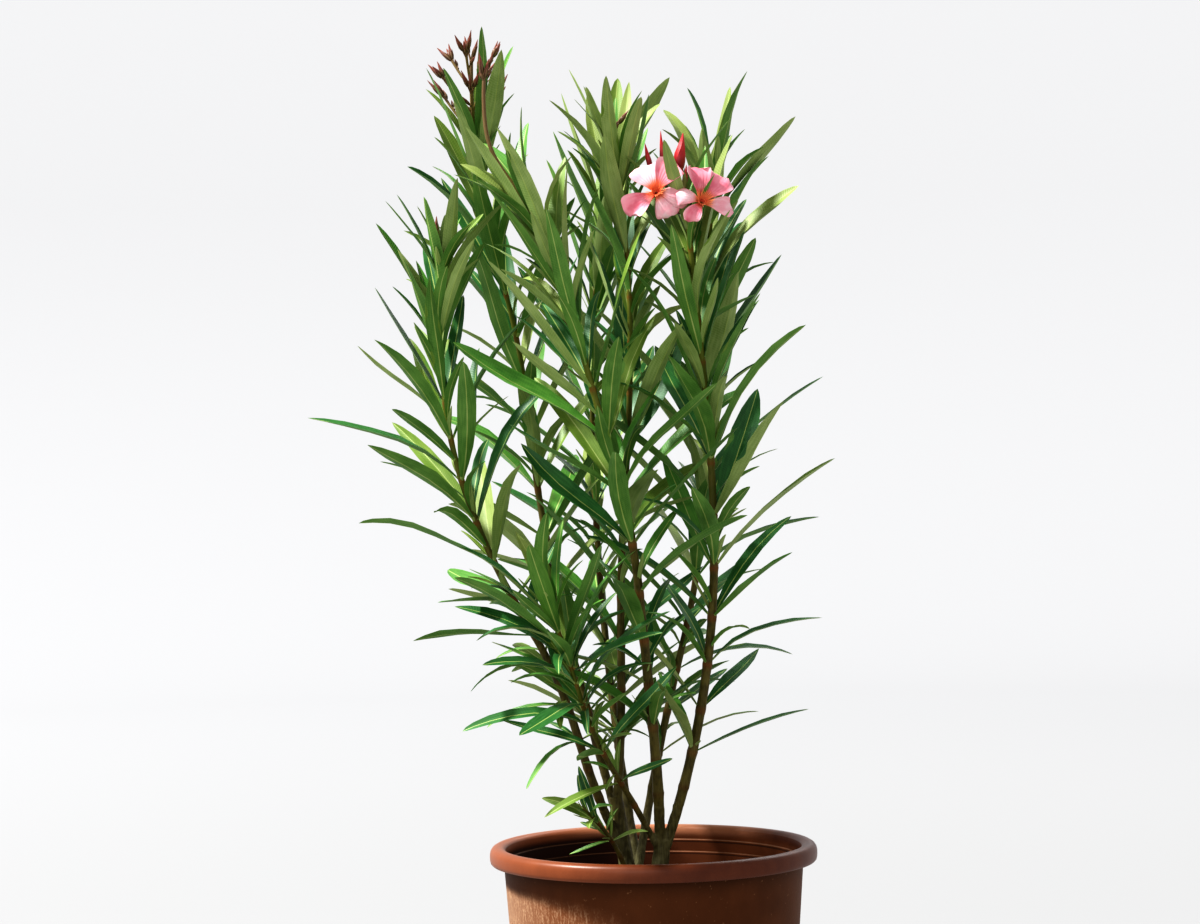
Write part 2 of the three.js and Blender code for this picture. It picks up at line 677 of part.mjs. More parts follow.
function blossom() {
  const { neck, pedicel, tube, petal: size, flowers, buds } = BLOSSOM;
  const cane = caneNamed(BLOSSOM.cane);
  const { place: tip, way } = on(cane.stem, cane.length);
  const foot = tip.clone().addScaledVector(way, GAP);
  const top = foot.clone().addScaledVector(way, neck[0]);
  const fork = foot.clone().addScaledVector(way, neck[0] / 2);
  const bodies = [loft([ring(foot, way, neck[1], 6), ring(top, way, neck[1], 6)])];
  for (const { at, faces, turn } of flowers) {
    const axis = point(...faces).normalize();
    const calyx = foot.clone().add(point(...at));
    bodies.push(twig(fork, calyx.clone().addScaledVector(axis, 2), pedicel));
    const mouth = calyx.clone().addScaledVector(axis, tube[0]);
    bodies.push(loft([ring(calyx, axis, tube[1], 6, aside(axis)), ring(mouth, axis, tube[2], 6, aside(axis))]));
    const rim = ring(point(0, 0, 0), axis, 1, 5, aside(axis).applyAxisAngle(axis, radians(turn)));
    const throat = mouth.clone().addScaledVector(axis, -3);
    for (const out of rim) bodies.push(petal(throat, axis, out, size[0], size[1]));
  }
  for (const { at, length, lean, radius } of buds) {
    const base = foot.clone().add(point(...at));
    bodies.push(twig(fork, base.clone().addScaledVector(way, 3), pedicel));
    bodies.push(bud(base, tilted(lean, 0), length, radius, 5));
  }
  return bodies;
}

addTruss(BLOSSOM.name, blossom(), MATERIALS.petals);

// ---- Bare lower lengths of the canes, then their masses of leaves ----

for (const cane of canes) {
  cane.random = seeded(cane.seed);
  const levels = whorls(cane);
  const share = levels.length / cane.masses.length;
  const starts = cane.masses.map((_, i) => {
    const { s } = levels[Math.round(i * share)];
    const gap = along(cane.gaps, (s - cane.bare) / (cane.length - cane.bare));
    return s - (i === 0 ? MASS_FOOT.lowest : MASS_FOOT.other * gap);
  });
  const fromGround = !cane.trunk;
  const flare = (s) => (fromGround ? CANE_FLARE * cane.radius[0] * Math.exp(-s / FLARE_HEIGHT) : 0);
  const radiusAt = (s) => girth(cane, s) + flare(s);
  const rings = { level: fromGround, spacing: fromGround ? 14 : 20 };
  const stem = stretch(cane.stem, radiusAt, fromGround ? 0 : cane.stub + GAP, starts[0] - GAP / 2, 8, rings);
  place(`${cane.name}_stem`, stem, MATERIALS.bark);
  cane.masses.forEach((part, i) => {
    const from = starts[i];
    const to = starts[i + 1] ?? cane.length;
    const own = levels.filter(({ s }) => s > from && s < to);
    place(`${cane.name}_${part}_leaves`, joined(mass(cane, own, from, to)), MATERIALS.leaves);
  });
}

export default plant;
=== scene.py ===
import math

import bpy
import numpy as np
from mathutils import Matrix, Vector, kdtree, noise


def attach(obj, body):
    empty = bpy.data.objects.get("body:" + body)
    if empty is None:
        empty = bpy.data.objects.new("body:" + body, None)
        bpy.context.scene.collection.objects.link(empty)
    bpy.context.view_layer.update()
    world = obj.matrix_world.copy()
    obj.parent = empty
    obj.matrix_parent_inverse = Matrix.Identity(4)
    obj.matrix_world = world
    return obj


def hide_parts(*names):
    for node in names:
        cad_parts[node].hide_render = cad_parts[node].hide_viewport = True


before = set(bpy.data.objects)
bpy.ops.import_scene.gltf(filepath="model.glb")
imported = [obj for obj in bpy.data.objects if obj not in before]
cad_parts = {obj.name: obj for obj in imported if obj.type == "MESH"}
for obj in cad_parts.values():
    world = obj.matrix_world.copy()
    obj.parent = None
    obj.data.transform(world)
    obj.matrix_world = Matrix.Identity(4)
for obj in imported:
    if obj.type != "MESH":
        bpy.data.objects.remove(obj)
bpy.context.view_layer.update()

# ---- Pot ----
# A round nursery pot, injection moulded in red-brown plastic: a thin wall that widens upwards, a rolled
# lip, two steps moulded inside below the lip, and a flat floor with six drain holes. Dust and lime pale its
# left, sunlit side down to the foot, with fine upright streaks; that paleness is partly painted light, and
# the lip's shadow over it is painted shade.

MM = 0.001
POT_SIDES = 160

# Radius and height, in millimetres: the wall from the outer edge of the underside up, the lip, and down
# inside past the two steps to the floor.
POT_OUTSIDE = [
    (117.4, 0), (119.3, 0.6), (120, 2.4), (123.4, 49),
    (127.4, 104), (132.3, 172), (137, 236.6), (137.4, 238.5),
]
POT_LIP = [
    (146.1, 238.8), (148.1, 239.2), (149.3, 240.5), (149.8, 242.6), (150, 245.3),
    (149.9, 248.2), (149.3, 251), (147.8, 253.2), (145.4, 254.6), (142.2, 255),
    (139.2, 254.6), (136.9, 253.3), (135.3, 251.2), (134.5, 248.7),
]
POT_INSIDE = [
    (134.2, 245.6), (134.2, 242.9), (133.9, 241.9), (132.8, 241.2), (132.4, 240.2), (132.4, 231.6),
    (132.1, 230.4), (131, 229.8), (130.6, 228.8), (127.1, 178), (115.3, 5.4), (113.8, 4), (20, 4),
]
DRAINS = dict(count=6, radius=6, depth=20, circle=70, sides=32)


def thrown(name, profile, sides, scale=MM, seen_from_inside=False):
    """A round body: a disc whose rim is drawn on from each ring of the profile to the next.

    One that is seen from inside has no lid, and its faces look inward.
    """
    bpy.ops.object.select_all(action="DESELECT")
    radius, height = profile[0]
    bpy.ops.mesh.primitive_circle_add(
        vertices=sides, radius=radius * scale, fill_type="NGON", location=(0, 0, height * scale)
    )
    body = bpy.context.active_object
    body.name = body.data.name = name
    bpy.ops.object.transform_apply(location=True, rotation=True, scale=True)
    bpy.ops.object.mode_set(mode="EDIT")
    bpy.ops.mesh.select_all(action="SELECT")
    for (radius, height), (next_radius, next_height) in zip(profile, profile[1:]):
        rise, wider = (next_height - height) * scale, next_radius / radius
        bpy.ops.mesh.extrude_region_move(TRANSFORM_OT_translate={"value": (0, 0, rise)})
        bpy.ops.transform.resize(value=(wider, wider, 1), center_override=(0, 0, 0))
    if seen_from_inside:
        bpy.ops.mesh.delete(type="ONLY_FACE")
    bpy.ops.mesh.select_all(action="SELECT")
    bpy.ops.mesh.normals_make_consistent(inside=seen_from_inside)
    bpy.ops.object.mode_set(mode="OBJECT")
    return body


def apply_modifiers(body):
    bpy.context.view_layer.objects.active = body
    for modifier in list(body.modifiers):
        bpy.ops.object.modifier_apply(modifier=modifier.name)


def smooth(body, degrees):
    """Smooth shading, with edges sharper than that many degrees left crisp."""
    bpy.ops.object.select_all(action="DESELECT")
    body.select_set(True)
    bpy.context.view_layer.objects.active = body
    bpy.ops.object.shade_smooth_by_angle(angle=math.radians(degrees))


class Wire:
    """The output of a node. Arithmetic on it adds Math nodes."""

    def __init__(self, finish, socket):
        self.finish, self.socket = finish, socket

    def maths(self, operation, a, b=0.0):
        return self.finish.node("ShaderNodeMath", {"operation": operation}, {0: a, 1: b})

    def __add__(self, other):
        return self.maths("ADD", self, other)

    def __sub__(self, other):
        return self.maths("SUBTRACT", self, other)

    def __rsub__(self, other):
        return self.maths("SUBTRACT", other, self)

    def __mul__(self, other):
        return self.maths("MULTIPLY", self, other)

    def __pow__(self, other):
        return self.maths("POWER", self, other)

    __radd__ = __add__

    def abs(self):
        return self.maths("ABSOLUTE", self)

    def sin(self):
        return self.maths("SINE", self)

    def between(self, low, high):
        """0 up to low, 1 from high, and smooth between."""
        return self.finish.node(
            "ShaderNodeMapRange", {"interpolation_type": "SMOOTHSTEP"}, {0: self, 1: low, 2: high}
        )

    def band(self, rise, fall):
        """1 between the end of rise and the start of fall, and 0 outside the two."""
        return self.between(*rise) * (1 - self.between(*fall))


class Finish:
    """A material, with the nodes that colour it."""

    def __init__(self, name, roughness, **constants):
        self.material = bpy.data.materials.new(name)
        self.material.use_nodes = True
        self.tree = self.material.node_tree
        self.shader = self.tree.nodes["Principled BSDF"]
        self.shader.inputs["Roughness"].default_value = roughness
        for socket, value in constants.items():
            self.shader.inputs[socket.replace("_", " ")].default_value = value
        self.place = self.node("ShaderNodeTexCoord", output="Object")

    def node(self, kind, settings=None, sockets=None, output=0):
        made = self.tree.nodes.new(kind)
        for setting, value in (settings or {}).items():
            setattr(made, setting, value)
        for socket, value in (sockets or {}).items():
            if isinstance(value, Wire):
                self.tree.links.new(value.socket, made.inputs[socket])
            else:
                made.inputs[socket].default_value = value
        return Wire(self, made.outputs[output])

    def blend(self, factor, first, second):
        """Two colours mixed by a factor."""
        mixed = {0: factor, 6: opaque(first), 7: opaque(second)}
        return self.node("ShaderNodeMix", {"data_type": "RGBA"}, mixed, output=2)

    def stretched(self, across, up):
        """The place on the piece, drawn out by these factors across and up."""
        scale = (across, across, up)
        return self.node("ShaderNodeVectorMath", {"operation": "MULTIPLY"}, {0: self.place, 1: scale})

    def cloud(self, size, detail=3.0, vector=None):
        """Noise from 0 to 1 with lumps of that size in metres."""
        vector = vector or self.place
        return self.node("ShaderNodeTexNoise", {}, {"Vector": vector, "Scale": 1 / size, "Detail": detail})

    def mark(self, name):
        """A mark that the points of the mesh carry."""
        return self.node("ShaderNodeAttribute", {"attribute_name": name}, output="Fac")

    def feed(self, socket, wire):
        self.tree.links.new(wire.socket, self.shader.inputs[socket])

    def relief(self, height, depth):
        """Bumps of that depth in metres, where height goes from 0 to 1."""
        bump = self.node("ShaderNodeBump", {}, {"Height": height, "Distance": depth, "Strength": 1.0})
        self.feed("Normal", bump)


def opaque(colour):
    return colour if isinstance(colour, Wire) else (*colour, 1.0)


def axis_of(finish, vector, axis):
    """One coordinate of a place."""
    return finish.node("ShaderNodeSeparateXYZ", {}, {0: vector}, output=axis)


def keep(piece, slot, *nodes):
    """The piece is part of the plant and may stand for solids of the frame. Its slot is not used."""
    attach(piece, "root")
    if nodes:
        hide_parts(*nodes)


pot = thrown("pot_shell", POT_OUTSIDE + POT_LIP + POT_INSIDE, POT_SIDES)
for hole in range(DRAINS["count"]):
    turn = math.radians(360 / DRAINS["count"] * hole)
    x, y = DRAINS["circle"] * MM * math.cos(turn), DRAINS["circle"] * MM * math.sin(turn)
    bpy.ops.object.select_all(action="DESELECT")
    bpy.ops.mesh.primitive_cylinder_add(
        vertices=DRAINS["sides"], radius=DRAINS["radius"] * MM, depth=DRAINS["depth"] * MM, location=(x, y, 0)
    )
    punch = bpy.context.active_object
    cut = pot.modifiers.new("drain", "BOOLEAN")
    cut.object, cut.operation, cut.solver = punch, "DIFFERENCE", "EXACT"
    apply_modifiers(pot)
    bpy.data.objects.remove(punch)
smooth(pot, 32)

plastic = Finish("moulded_plastic", 0.42, Specular_IOR_Level=0.12, Coat_Roughness=0.34)
across, depth, up = (axis_of(plastic, plastic.place, axis) for axis in ("X", "Y", "Z"))
radius = (across * across + depth * depth) ** 0.5
WALL_TAPER = 0.0715  # how far the wall widens for its rise
inside = 1 - (radius - up * WALL_TAPER).between(0.1174, 0.118)
lip = up.between(0.2382, 0.2388)
wall = (1 - inside) * (1 - lip)
clouds = plastic.cloud(0.055, 4.0)
grime = plastic.cloud(0.014, 5.0, plastic.stretched(1.0, 0.6))
grain = plastic.cloud(0.0012, 3.0, plastic.stretched(1.0, 0.6))
streaks = plastic.cloud(0.0022, 4.0, plastic.stretched(1.0, 0.2))
patches = clouds * 0.6 + grime * 0.4
# The lip is clean, and paler towards the left, partly where the sun has faded it and partly as painted light
# on its lit side, with a painted highlight along its back. The wall under it is dark with age, with a band of
# painted shade just below the lip, and the inside is dark with painted shade.
# Painted light: the lip is paler towards the left, its lit side.
faded_and_lit = (1 - across.between(-0.12, 0.02)) * 0.8
paleness = faded_and_lit + patches * 0.9 - 0.45 + grain * 0.15
clean_and_lit = plastic.blend(paleness, (0.085, 0.02, 0.0062), (0.25, 0.074, 0.026))
# A painted highlight along the back of the lip.
clean_and_lit = plastic.blend(depth.between(0.06, 0.14) * across.between(-0.12, -0.03), clean_and_lit, (0.4, 0.17, 0.09))
aged_and_shaded = plastic.blend(patches, (0.045, 0.013, 0.0028), (0.12, 0.04, 0.012))
# Painted shade: a darker band on the wall just under the lip.
aged_and_shaded = plastic.blend((up - patches * 0.008).between(0.214, 0.236) * 0.5, aged_and_shaded, (0.035, 0.011, 0.002))
# Painted shade inside the pot, darkest on the left and lighter towards the right.
painted_inside_shade = plastic.blend(across.between(-0.06, 0.1), (0.028, 0.007, 0.002), (0.15, 0.045, 0.014))
outer_skin = plastic.blend(wall, clean_and_lit, aged_and_shaded)
inner_skin = plastic.blend(up.between(0.243, 0.25), painted_inside_shade, clean_and_lit)
worn_lit_and_shaded = plastic.blend(inside, outer_skin, inner_skin)
# Dust and lime lie on the left, sunlit side, palest at its far edge: partly real dust and partly painted
# light. Their upper edge is painted to follow the lip's cast shadow, whose edge drops lower towards the
# front, so the wall in that shadow keeps its darker colour as painted shade. Near the right edge the wall
# is a little paler too.
lip_shadow_reach = (0.2385 - up).between(0, 0.06) * -34
sunlit_dusty_side = (across * lip_shadow_reach + grime * 0.5 + clouds * 0.3).between(0.9, 2.1) * wall
right_side = (across * 7.0 + clouds * 0.7).between(0.75, 1.35) * wall
# Painted light: the dust is palest at the far left.
lit_chalk = plastic.blend(across.between(-0.137, -0.085), (0.34, 0.19, 0.112), (0.22, 0.088, 0.038))
dusty_and_lit = plastic.blend(sunlit_dusty_side * (0.5 + grain * 0.4 + streaks * 0.4) + right_side * 0.14, worn_lit_and_shaded, lit_chalk)
lime = (streaks * 0.55 + grain * 0.45).between(0.46, 0.66) * sunlit_dusty_side
limed_and_lit = plastic.blend(lime * 0.5, dusty_and_lit, (0.56, 0.38, 0.24))
specks = plastic.cloud(0.0035, 2.0).between(0.68, 0.76) * wall
limed_and_lit = plastic.blend(specks * 0.35, limed_and_lit, (0.3, 0.16, 0.08))
# Each step inside the lip has a lit top and a shaded edge under it.
tops = up.band((0.2410, 0.2413), (0.2419, 0.2423)) + up.band((0.2297, 0.23), (0.2305, 0.2309))
edges = up.band((0.2388, 0.2392), (0.2402, 0.2406)) + up.band((0.2276, 0.2279), (0.2288, 0.2292))
steps_lit = inside * (0.4 + across.between(-0.1, 0.03) * 0.6) * tops
stepped = plastic.blend(inside * edges * 0.7, limed_and_lit, (0.02, 0.006, 0.002))
plastic.feed("Base Color", plastic.blend(steps_lit * 0.75, stepped, (0.3, 0.15, 0.085)))
plastic.feed("Roughness", 0.42 + lime * 0.3 + wall * 0.16 + inside * 0.15)
plastic.feed("Coat Weight", lip * (1 - inside) * 0.3)
plastic.relief(grain * 0.4 + grime * 0.3 + lime * 0.3, 0.00022)
pot.data.materials.append(plastic.material)
keep(pot, "pot", "pot")

# ---- Soil ----
# Damp potting soil, pressed down a little below the steps and crowned towards the stems, with loose crumbs
# and bits of bark lying on it.

SOIL_RINGS = 44
SOIL_SIDES = 120
SOIL_RADIUS = 129
SOIL_UNDERSIDE = dict(height=10, part=0.85)  # part of the bed's radius


def soil_height(x, y):
    """The soil's height in millimetres."""
    r = math.hypot(x, y)
    crown = 216.6 - 3.6 * max(0.0, (r - 55) / 70) ** 1.4
    lumps = 1.5 * noise.noise(Vector((x, y, 0)) / 21) + 0.9 * noise.noise(Vector((x, y, 9)) / 7.5)
    return crown + lumps - 0.6


def make_piece(name, points, faces, finishes, slots=None):
    """A mesh piece from points in millimetres. Slots says which finish each face takes."""
    mesh = bpy.data.meshes.new(name)
    mesh.from_pydata((np.asarray(points) * MM).tolist(), [], faces)
    for finish in finishes:
        mesh.materials.append(finish.material)
    if slots is not None:
        mesh.polygons.foreach_set("material_index", np.asarray(slots, dtype=np.int32))
    mesh.update()
    piece = bpy.data.objects.new(name, mesh)
    bpy.context.scene.collection.objects.link(piece)
    return piece


def seeded(seed):
    """A repeatable source of numbers from 0 to 1."""
    state = seed * 7919 + 12345

    def draw():
        nonlocal state
        state = state * 48271 % 2147483647
        return state / 2147483647

    return draw


soil_points = [(0, 0, soil_height(0, 0))]
soil_faces = [(0, 1 + j, 1 + (j + 1) % SOIL_SIDES) for j in range(SOIL_SIDES)]
for i in range(SOIL_RINGS):
    r = SOIL_RADIUS * (i + 1) / SOIL_RINGS
    for j in range(SOIL_SIDES):
        a = 2 * math.pi * j / SOIL_SIDES
        x, y = r * math.cos(a), r * math.sin(a)
        soil_points.append((x, y, soil_height(x, y)))
        if i < SOIL_RINGS - 1:
            here, beside = 1 + i * SOIL_SIDES + j, 1 + i * SOIL_SIDES + (j + 1) % SOIL_SIDES
            soil_faces.append((here, here + SOIL_SIDES, beside + SOIL_SIDES, beside))
rim = len(soil_points) - SOIL_SIDES
part = SOIL_UNDERSIDE["part"]
for x, y, _ in soil_points[rim:]:
    soil_points.append((x * part, y * part, SOIL_UNDERSIDE["height"]))
for j in range(SOIL_SIDES):
    k = (j + 1) % SOIL_SIDES
    soil_faces.append((rim + j, rim + SOIL_SIDES + j, rim + SOIL_SIDES + k, rim + k))
soil_faces.append(tuple(rim + SOIL_SIDES + j for j in reversed(range(SOIL_SIDES))))

earth = Finish("potting_soil", 0.95)
grain = earth.cloud(0.0035, 6.0)
damp = earth.cloud(0.03, 3.0)
earth.feed("Base Color", earth.blend(grain * 0.7 + damp * 0.3, (0.012, 0.008, 0.005), (0.1, 0.062, 0.036)))
earth.relief(grain, 0.0016)
soil = make_piece("soil_bed", soil_points, soil_faces, [earth])
smooth(soil, 60)
keep(soil, "soil", "soil")

CRUMBS = 900
CRUMB_REACH = 126
draw = seeded(31)
crumb_points, crumb_faces = [], []
for _ in range(CRUMBS):
    r, a = CRUMB_REACH * math.sqrt(draw()), 2 * math.pi * draw()
    size, flat = 0.7 + 2.0 * draw() ** 3, 0.35 + 0.5 * draw()
    long, turn = 1 + 1.3 * draw() ** 2, math.pi * draw()
    x, y = r * math.cos(a), r * math.sin(a)
    middle, first = np.array((x, y, soil_height(x, y) + size * flat * 0.5)), len(crumb_points)
    for k in range(5):
        b = 2 * math.pi * k / 5
        u, v = size * long * math.cos(b) * (0.8 + 0.4 * draw()), size * math.sin(b) * (0.8 + 0.4 * draw())
        way = (u * math.cos(turn) - v * math.sin(turn), u * math.sin(turn) + v * math.cos(turn), 0)
        crumb_points.append(middle + way)
    crumb_points.append(middle + (0, 0, size * flat))
    crumb_points.append(middle - (0, 0, size * flat))
    for k in range(5):
        crumb_faces.append((first + k, first + (k + 1) % 5, first + 5))
        crumb_faces.append((first + (k + 1) % 5, first + k, first + 6))
crumb = Finish("soil_crumbs", 0.9)
crumb.feed("Base Color", crumb.blend(crumb.cloud(0.006, 2.0), (0.02, 0.013, 0.008), (0.16, 0.1, 0.06)))
crumbs = make_piece("soil_crumbs", crumb_points, crumb_faces, [crumb])
keep(crumbs, "soil")

# ---- Trunks and canes ----
# Two short trunks fork just above the rim into six canes, and three more canes come straight from the soil.
# The bark is smooth: grey-olive at the foot, then brown, then green where it is young, with a red ring and
# old leaf scars at each joint.

GAP = 0.3  # between a cane's tip and the truss on it
GROUND = 217.3
STEP = 5  # between the places that a stem's line runs through
FLARE_HEIGHT = 9
CANE_FLARE = 0.45  # of the foot's own radius
LAST_WHORL = 8  # how near the tip a whorl may stand
TRUNK_AGE = 60  # what the trunk below a forked cane adds to its age, as a length
CANE_SIDES = 14
BARK_STEP = 3.4  # between the rings of points in a cane's bark
COLLAR = dict(half=2.6, swell=0.13)  # round each joint
SCARS = dict(above=5, half=6, swell=0.035)  # the fuller length above a joint
TRUNK_SIDES = 24
TRUNK_VOXEL = 0.0009  # in metres
TRUNK_YOUTH = 700  # how far above the ground a trunk's bark would be young

TRUNKS = {
    "left_trunk": dict(foot=(-22, 1), top=(-34, 4, 298), radius=(7.4, 6.4), flare=3.6),
    "right_trunk": dict(foot=(4, -11), top=(8, -13, 260), radius=(8, 7.2), flare=4),
}

# What most canes share: the space between the whorls, the leaves' length, their angle from the stem and how
# far they arch over, each from the lowest whorl to the highest, and the leaf masses of the frame.
HABIT = dict(
    gaps=(40, 50, 25), blade=(105, 150, 115), spread=(55, 40, 20), droop=(15, 5, 0),
    masses=("lower", "middle", "upper"),
)

# Each cane's foot, length and radius, the length that is one with its trunk, its tilt towards +X and +Y
# from foot to tip, its bare length, and its habit. Phase is the turn of its lowest whorl, fallen the share of
# leaves lost from the lowest whorls, shoots the chance of a side shoot, and young the number of leaves that
# stand upright round the tip.
CANES = [
    dict(
        name="right_cane", trunk="right_trunk", foot=(9, -12, 248), length=582, radius=(4.9, 2.3), stub=46,
        lean=(20, 10, 0, -5, -5), back=(-5, -5, -5, 0, 0),
        bare=96, **HABIT, fallen=0.3, shoots=0.1,
        phase=0, seed=1,
    ),
    dict(
        name="front_cane", trunk="right_trunk", foot=(6, -13, 248), length=610, radius=(5.1, 2), stub=46,
        lean=(0, -5, -5, -15, -15, -25), back=(-10, -15, -10, -5, 5, 10),
        bare=120, **HABIT, fallen=0.3, shoots=0.12,
        phase=40, seed=2,
    ),
    dict(
        name="front_shoot", trunk="right_trunk", foot=(4, -15, 252), length=268, radius=(3.1, 1.4), stub=34,
        lean=(-25, -30, -15, -20), back=(-25, -30, -25, 0),
        bare=80, gaps=(35, 20, 10), blade=(80, 120, 110),
        spread=(60, 50, 20), droop=(10, 30, 0), fallen=0, shoots=0.1,
        phase=80, seed=3, masses=("lower", "upper"),
    ),
    dict(
        name="left_cane", trunk="left_trunk", foot=(-29, 0, 250), length=570, radius=(4.3, 1.7), stub=42,
        lean=(-25, -15, -30, -20, -5, 5), back=(-10, -10, -10, -5, 5, 5),
        bare=110, gaps=(35, 40, 20), blade=(75, 150, 95),
        spread=(75, 40, 25), droop=(40, 5, 0), fallen=0, shoots=0.08,
        phase=0, seed=14, masses=("lower", "middle", "upper"),
    ),
    dict(
        name="centre_cane", trunk="left_trunk", foot=(-33, 3, 286), length=606, radius=(4.2, 1.7), stub=36,
        lean=(5, 0, 5, 0, -10), back=(0, 0, -5, 0, 0),
        bare=70, **HABIT, fallen=0.2, shoots=0.35,
        phase=40, seed=15,
    ),
    dict(
        name="back_left_cane", trunk="left_trunk", foot=(-34, 5, 284), length=640, radius=(4.3, 1.6), stub=40,
        lean=(-15, -15, -10, -5, -15, -5), back=(15, 15, 10, 0, -5, -5),
        bare=96, **HABIT, fallen=0.1, shoots=0.12,
        phase=80, seed=6, young=0,
    ),
    dict(
        name="back_right_cane", trunk=None, foot=(-16, 21, GROUND), length=668, radius=(4, 1.6),
        lean=(10, 15, 0, 5), back=(15, 10, 5, -5),
        bare=120, **HABIT, fallen=0.2, shoots=0.2,
        phase=0, seed=7,
    ),
    dict(
        name="back_cane", trunk=None, foot=(-12, 34, GROUND), length=680, radius=(4.2, 1.6),
        lean=(-10, -5, 0, 10), back=(25, 15, 0, -5),
        bare=130, **HABIT, fallen=0.2, shoots=0.2,
        phase=40, seed=8,
    ),
    dict(
        name="low_shoot", trunk=None, foot=(-22, -17, GROUND), length=104, radius=(2.6, 1.3),
        lean=(-10, -30, -45), back=(-10, -35, -45),
        bare=52, gaps=(25, 20, 10), blade=(45, 60, 50),
        spread=(60, 40, 20), droop=(20, 10, 5), fallen=0, shoots=0,
        phase=80, seed=9, masses=("tuft",),
    ),
]


def mix(a, b, t):
    return a + (b - a) * t


def grain_at(point, across, up):
    """Noise from -1 to 1 with grains of that size across and up."""
    return noise.noise(Vector((point[0] / across, point[1] / across, point[2] / up)))


def unit(vector):
    vector = np.asarray(vector, dtype=float)
    return vector / np.linalg.norm(vector)


def along(values, t):
    """The value at t, from 0 to 1, of a run of values at even steps."""
    place = min(max(t, 0.0), 1.0) * (len(values) - 1)
    i = min(int(place), len(values) - 2)
    return mix(values[i], values[i + 1], place - i)


def tilted(lean, back):
    return unit((math.tan(math.radians(lean)), math.tan(math.radians(back)), 1))


class Stem:
    """The line of a stem from its foot, in even steps, with the way it runs at each."""

    def __init__(self, foot, length, lean, back):
        count = round(length / STEP)
        self.step, self.length = length / count, length
        self.places, self.ways = [np.array(foot, dtype=float)], []
        for i in range(count + 1):
            self.ways.append(tilted(along(lean, i / count), along(back, i / count)))
            middle = (i + 0.5) / count
            stride = tilted(along(lean, middle), along(back, middle)) * self.step
            self.places.append(self.places[-1] + stride)
        self.places.pop()

    def on(self, s):
        """The place and the way, s along the stem. Both run straight on past its ends."""
        i = min(max(int(s / self.step), 0), len(self.places) - 2)
        part = s / self.step - i
        place = mix(self.places[i], self.places[i + 1], part)
        return place, unit(mix(self.ways[i], self.ways[i + 1], part))


def ring(centre, way, radius, sides, across=(1, 0, 0)):
    """Points round a stem, square to the way it runs."""
    across = np.array(across, dtype=float)
    u = unit(across - way * across.dot(way))
    v = np.cross(way, u)
    turns = 2 * np.pi * np.arange(sides) / sides
    return centre + radius * (np.outer(np.cos(turns), u) + np.outer(np.sin(turns), v))


def set_mark(mesh, mark, values):
    """Gives each point of the mesh a number that its finish reads."""
    if mark in mesh.attributes:
        mesh.attributes.remove(mesh.attributes[mark])
    made = mesh.attributes.new(mark, "FLOAT", "POINT")
    made.data.foreach_set("value", np.ascontiguousarray(values, dtype=np.float32))


class Heap:
    """Points and faces of many small things, gathered for one mesh, with marks that the finish reads."""

    def __init__(self):
        self.points, self.faces, self.slots, self.marks = [], [], [], []

    def add(self, points, faces, slots=0, marks=(0, 0)):
        first = len(self.points)
        self.points.extend(points)
        self.faces.extend(tuple(first + i for i in face) for face in faces)
        self.slots.extend(slots if isinstance(slots, list) else [slots] * len(faces))
        self.marks.extend(marks if isinstance(marks, list) else [marks] * len(points))

    def tube(self, rings, marks=(0, 0), point=False):
        """A tube through rings of points, closed at both ends. Its far end may be drawn to a point."""
        sides, count = len(rings[0]), len(rings)
        faces = [
            (i + j, i + (j + 1) % sides, i + sides + (j + 1) % sides, i + sides + j)
            for i in range(0, (count - 1) * sides, sides)
            for j in range(sides)
        ]
        faces.append(tuple(reversed(range(sides))))
        points = [p for one in rings for p in one]
        if point:
            top = (count - 1) * sides
            tip = len(points)
            last, before = (np.mean(one, axis=0) for one in (rings[-1], rings[-2]))
            points.append(last + (last - before) * 0.4)
            faces += [(top + j, top + (j + 1) % sides, tip) for j in range(sides)]
        else:
            faces.append(tuple(range((count - 1) * sides, count * sides)))
        if isinstance(marks, list):
            marks = [mark for mark in marks for _ in range(sides)] + [marks[-1]] * point
        self.add(points, faces, 0, marks)

    def piece(self, name, finishes, degrees):
        made = make_piece(name, self.points, self.faces, finishes, self.slots)
        marks = np.array(self.marks, dtype=np.float32)
        set_mark(made.data, "first_mark", marks[:, 0])
        set_mark(made.data, "second_mark", marks[:, 1])
        smooth(made, degrees)
        return made


def girth(cane, s):
    return mix(*cane["radius"], s / cane["length"])


def whorls(cane):
    """The joints that bear leaves: how far up the cane each is, and the sizes of its leaves."""
    found, s, turn = [], cane["bare"], cane["phase"]
    while s < cane["length"] - LAST_WHORL:
        t = (s - cane["bare"]) / (cane["length"] - cane["bare"])
        sizes = {run: along(cane[run], t) for run in ("spread", "droop")}
        fallen = max(0.0, cane["fallen"] * (1 - 2 * t))
        found.append(dict(s=s, turn=turn, length=along(cane["blade"], t), fallen=fallen, **sizes))
        s += along(cane["gaps"], t)
        turn += 60
    return found


def joints(cane):
    """All the joints of a cane: those with leaves, and the bare ones below, where only scars are left."""
    found = [level["s"] for level in whorls(cane)]
    while found[0] > 16:
        found.insert(0, found[0] - cane["gaps"][0] * 0.8)
    return np.array(found)


for cane in CANES:
    cane["stem"] = Stem(cane["foot"], cane["length"], cane["lean"], cane["back"])

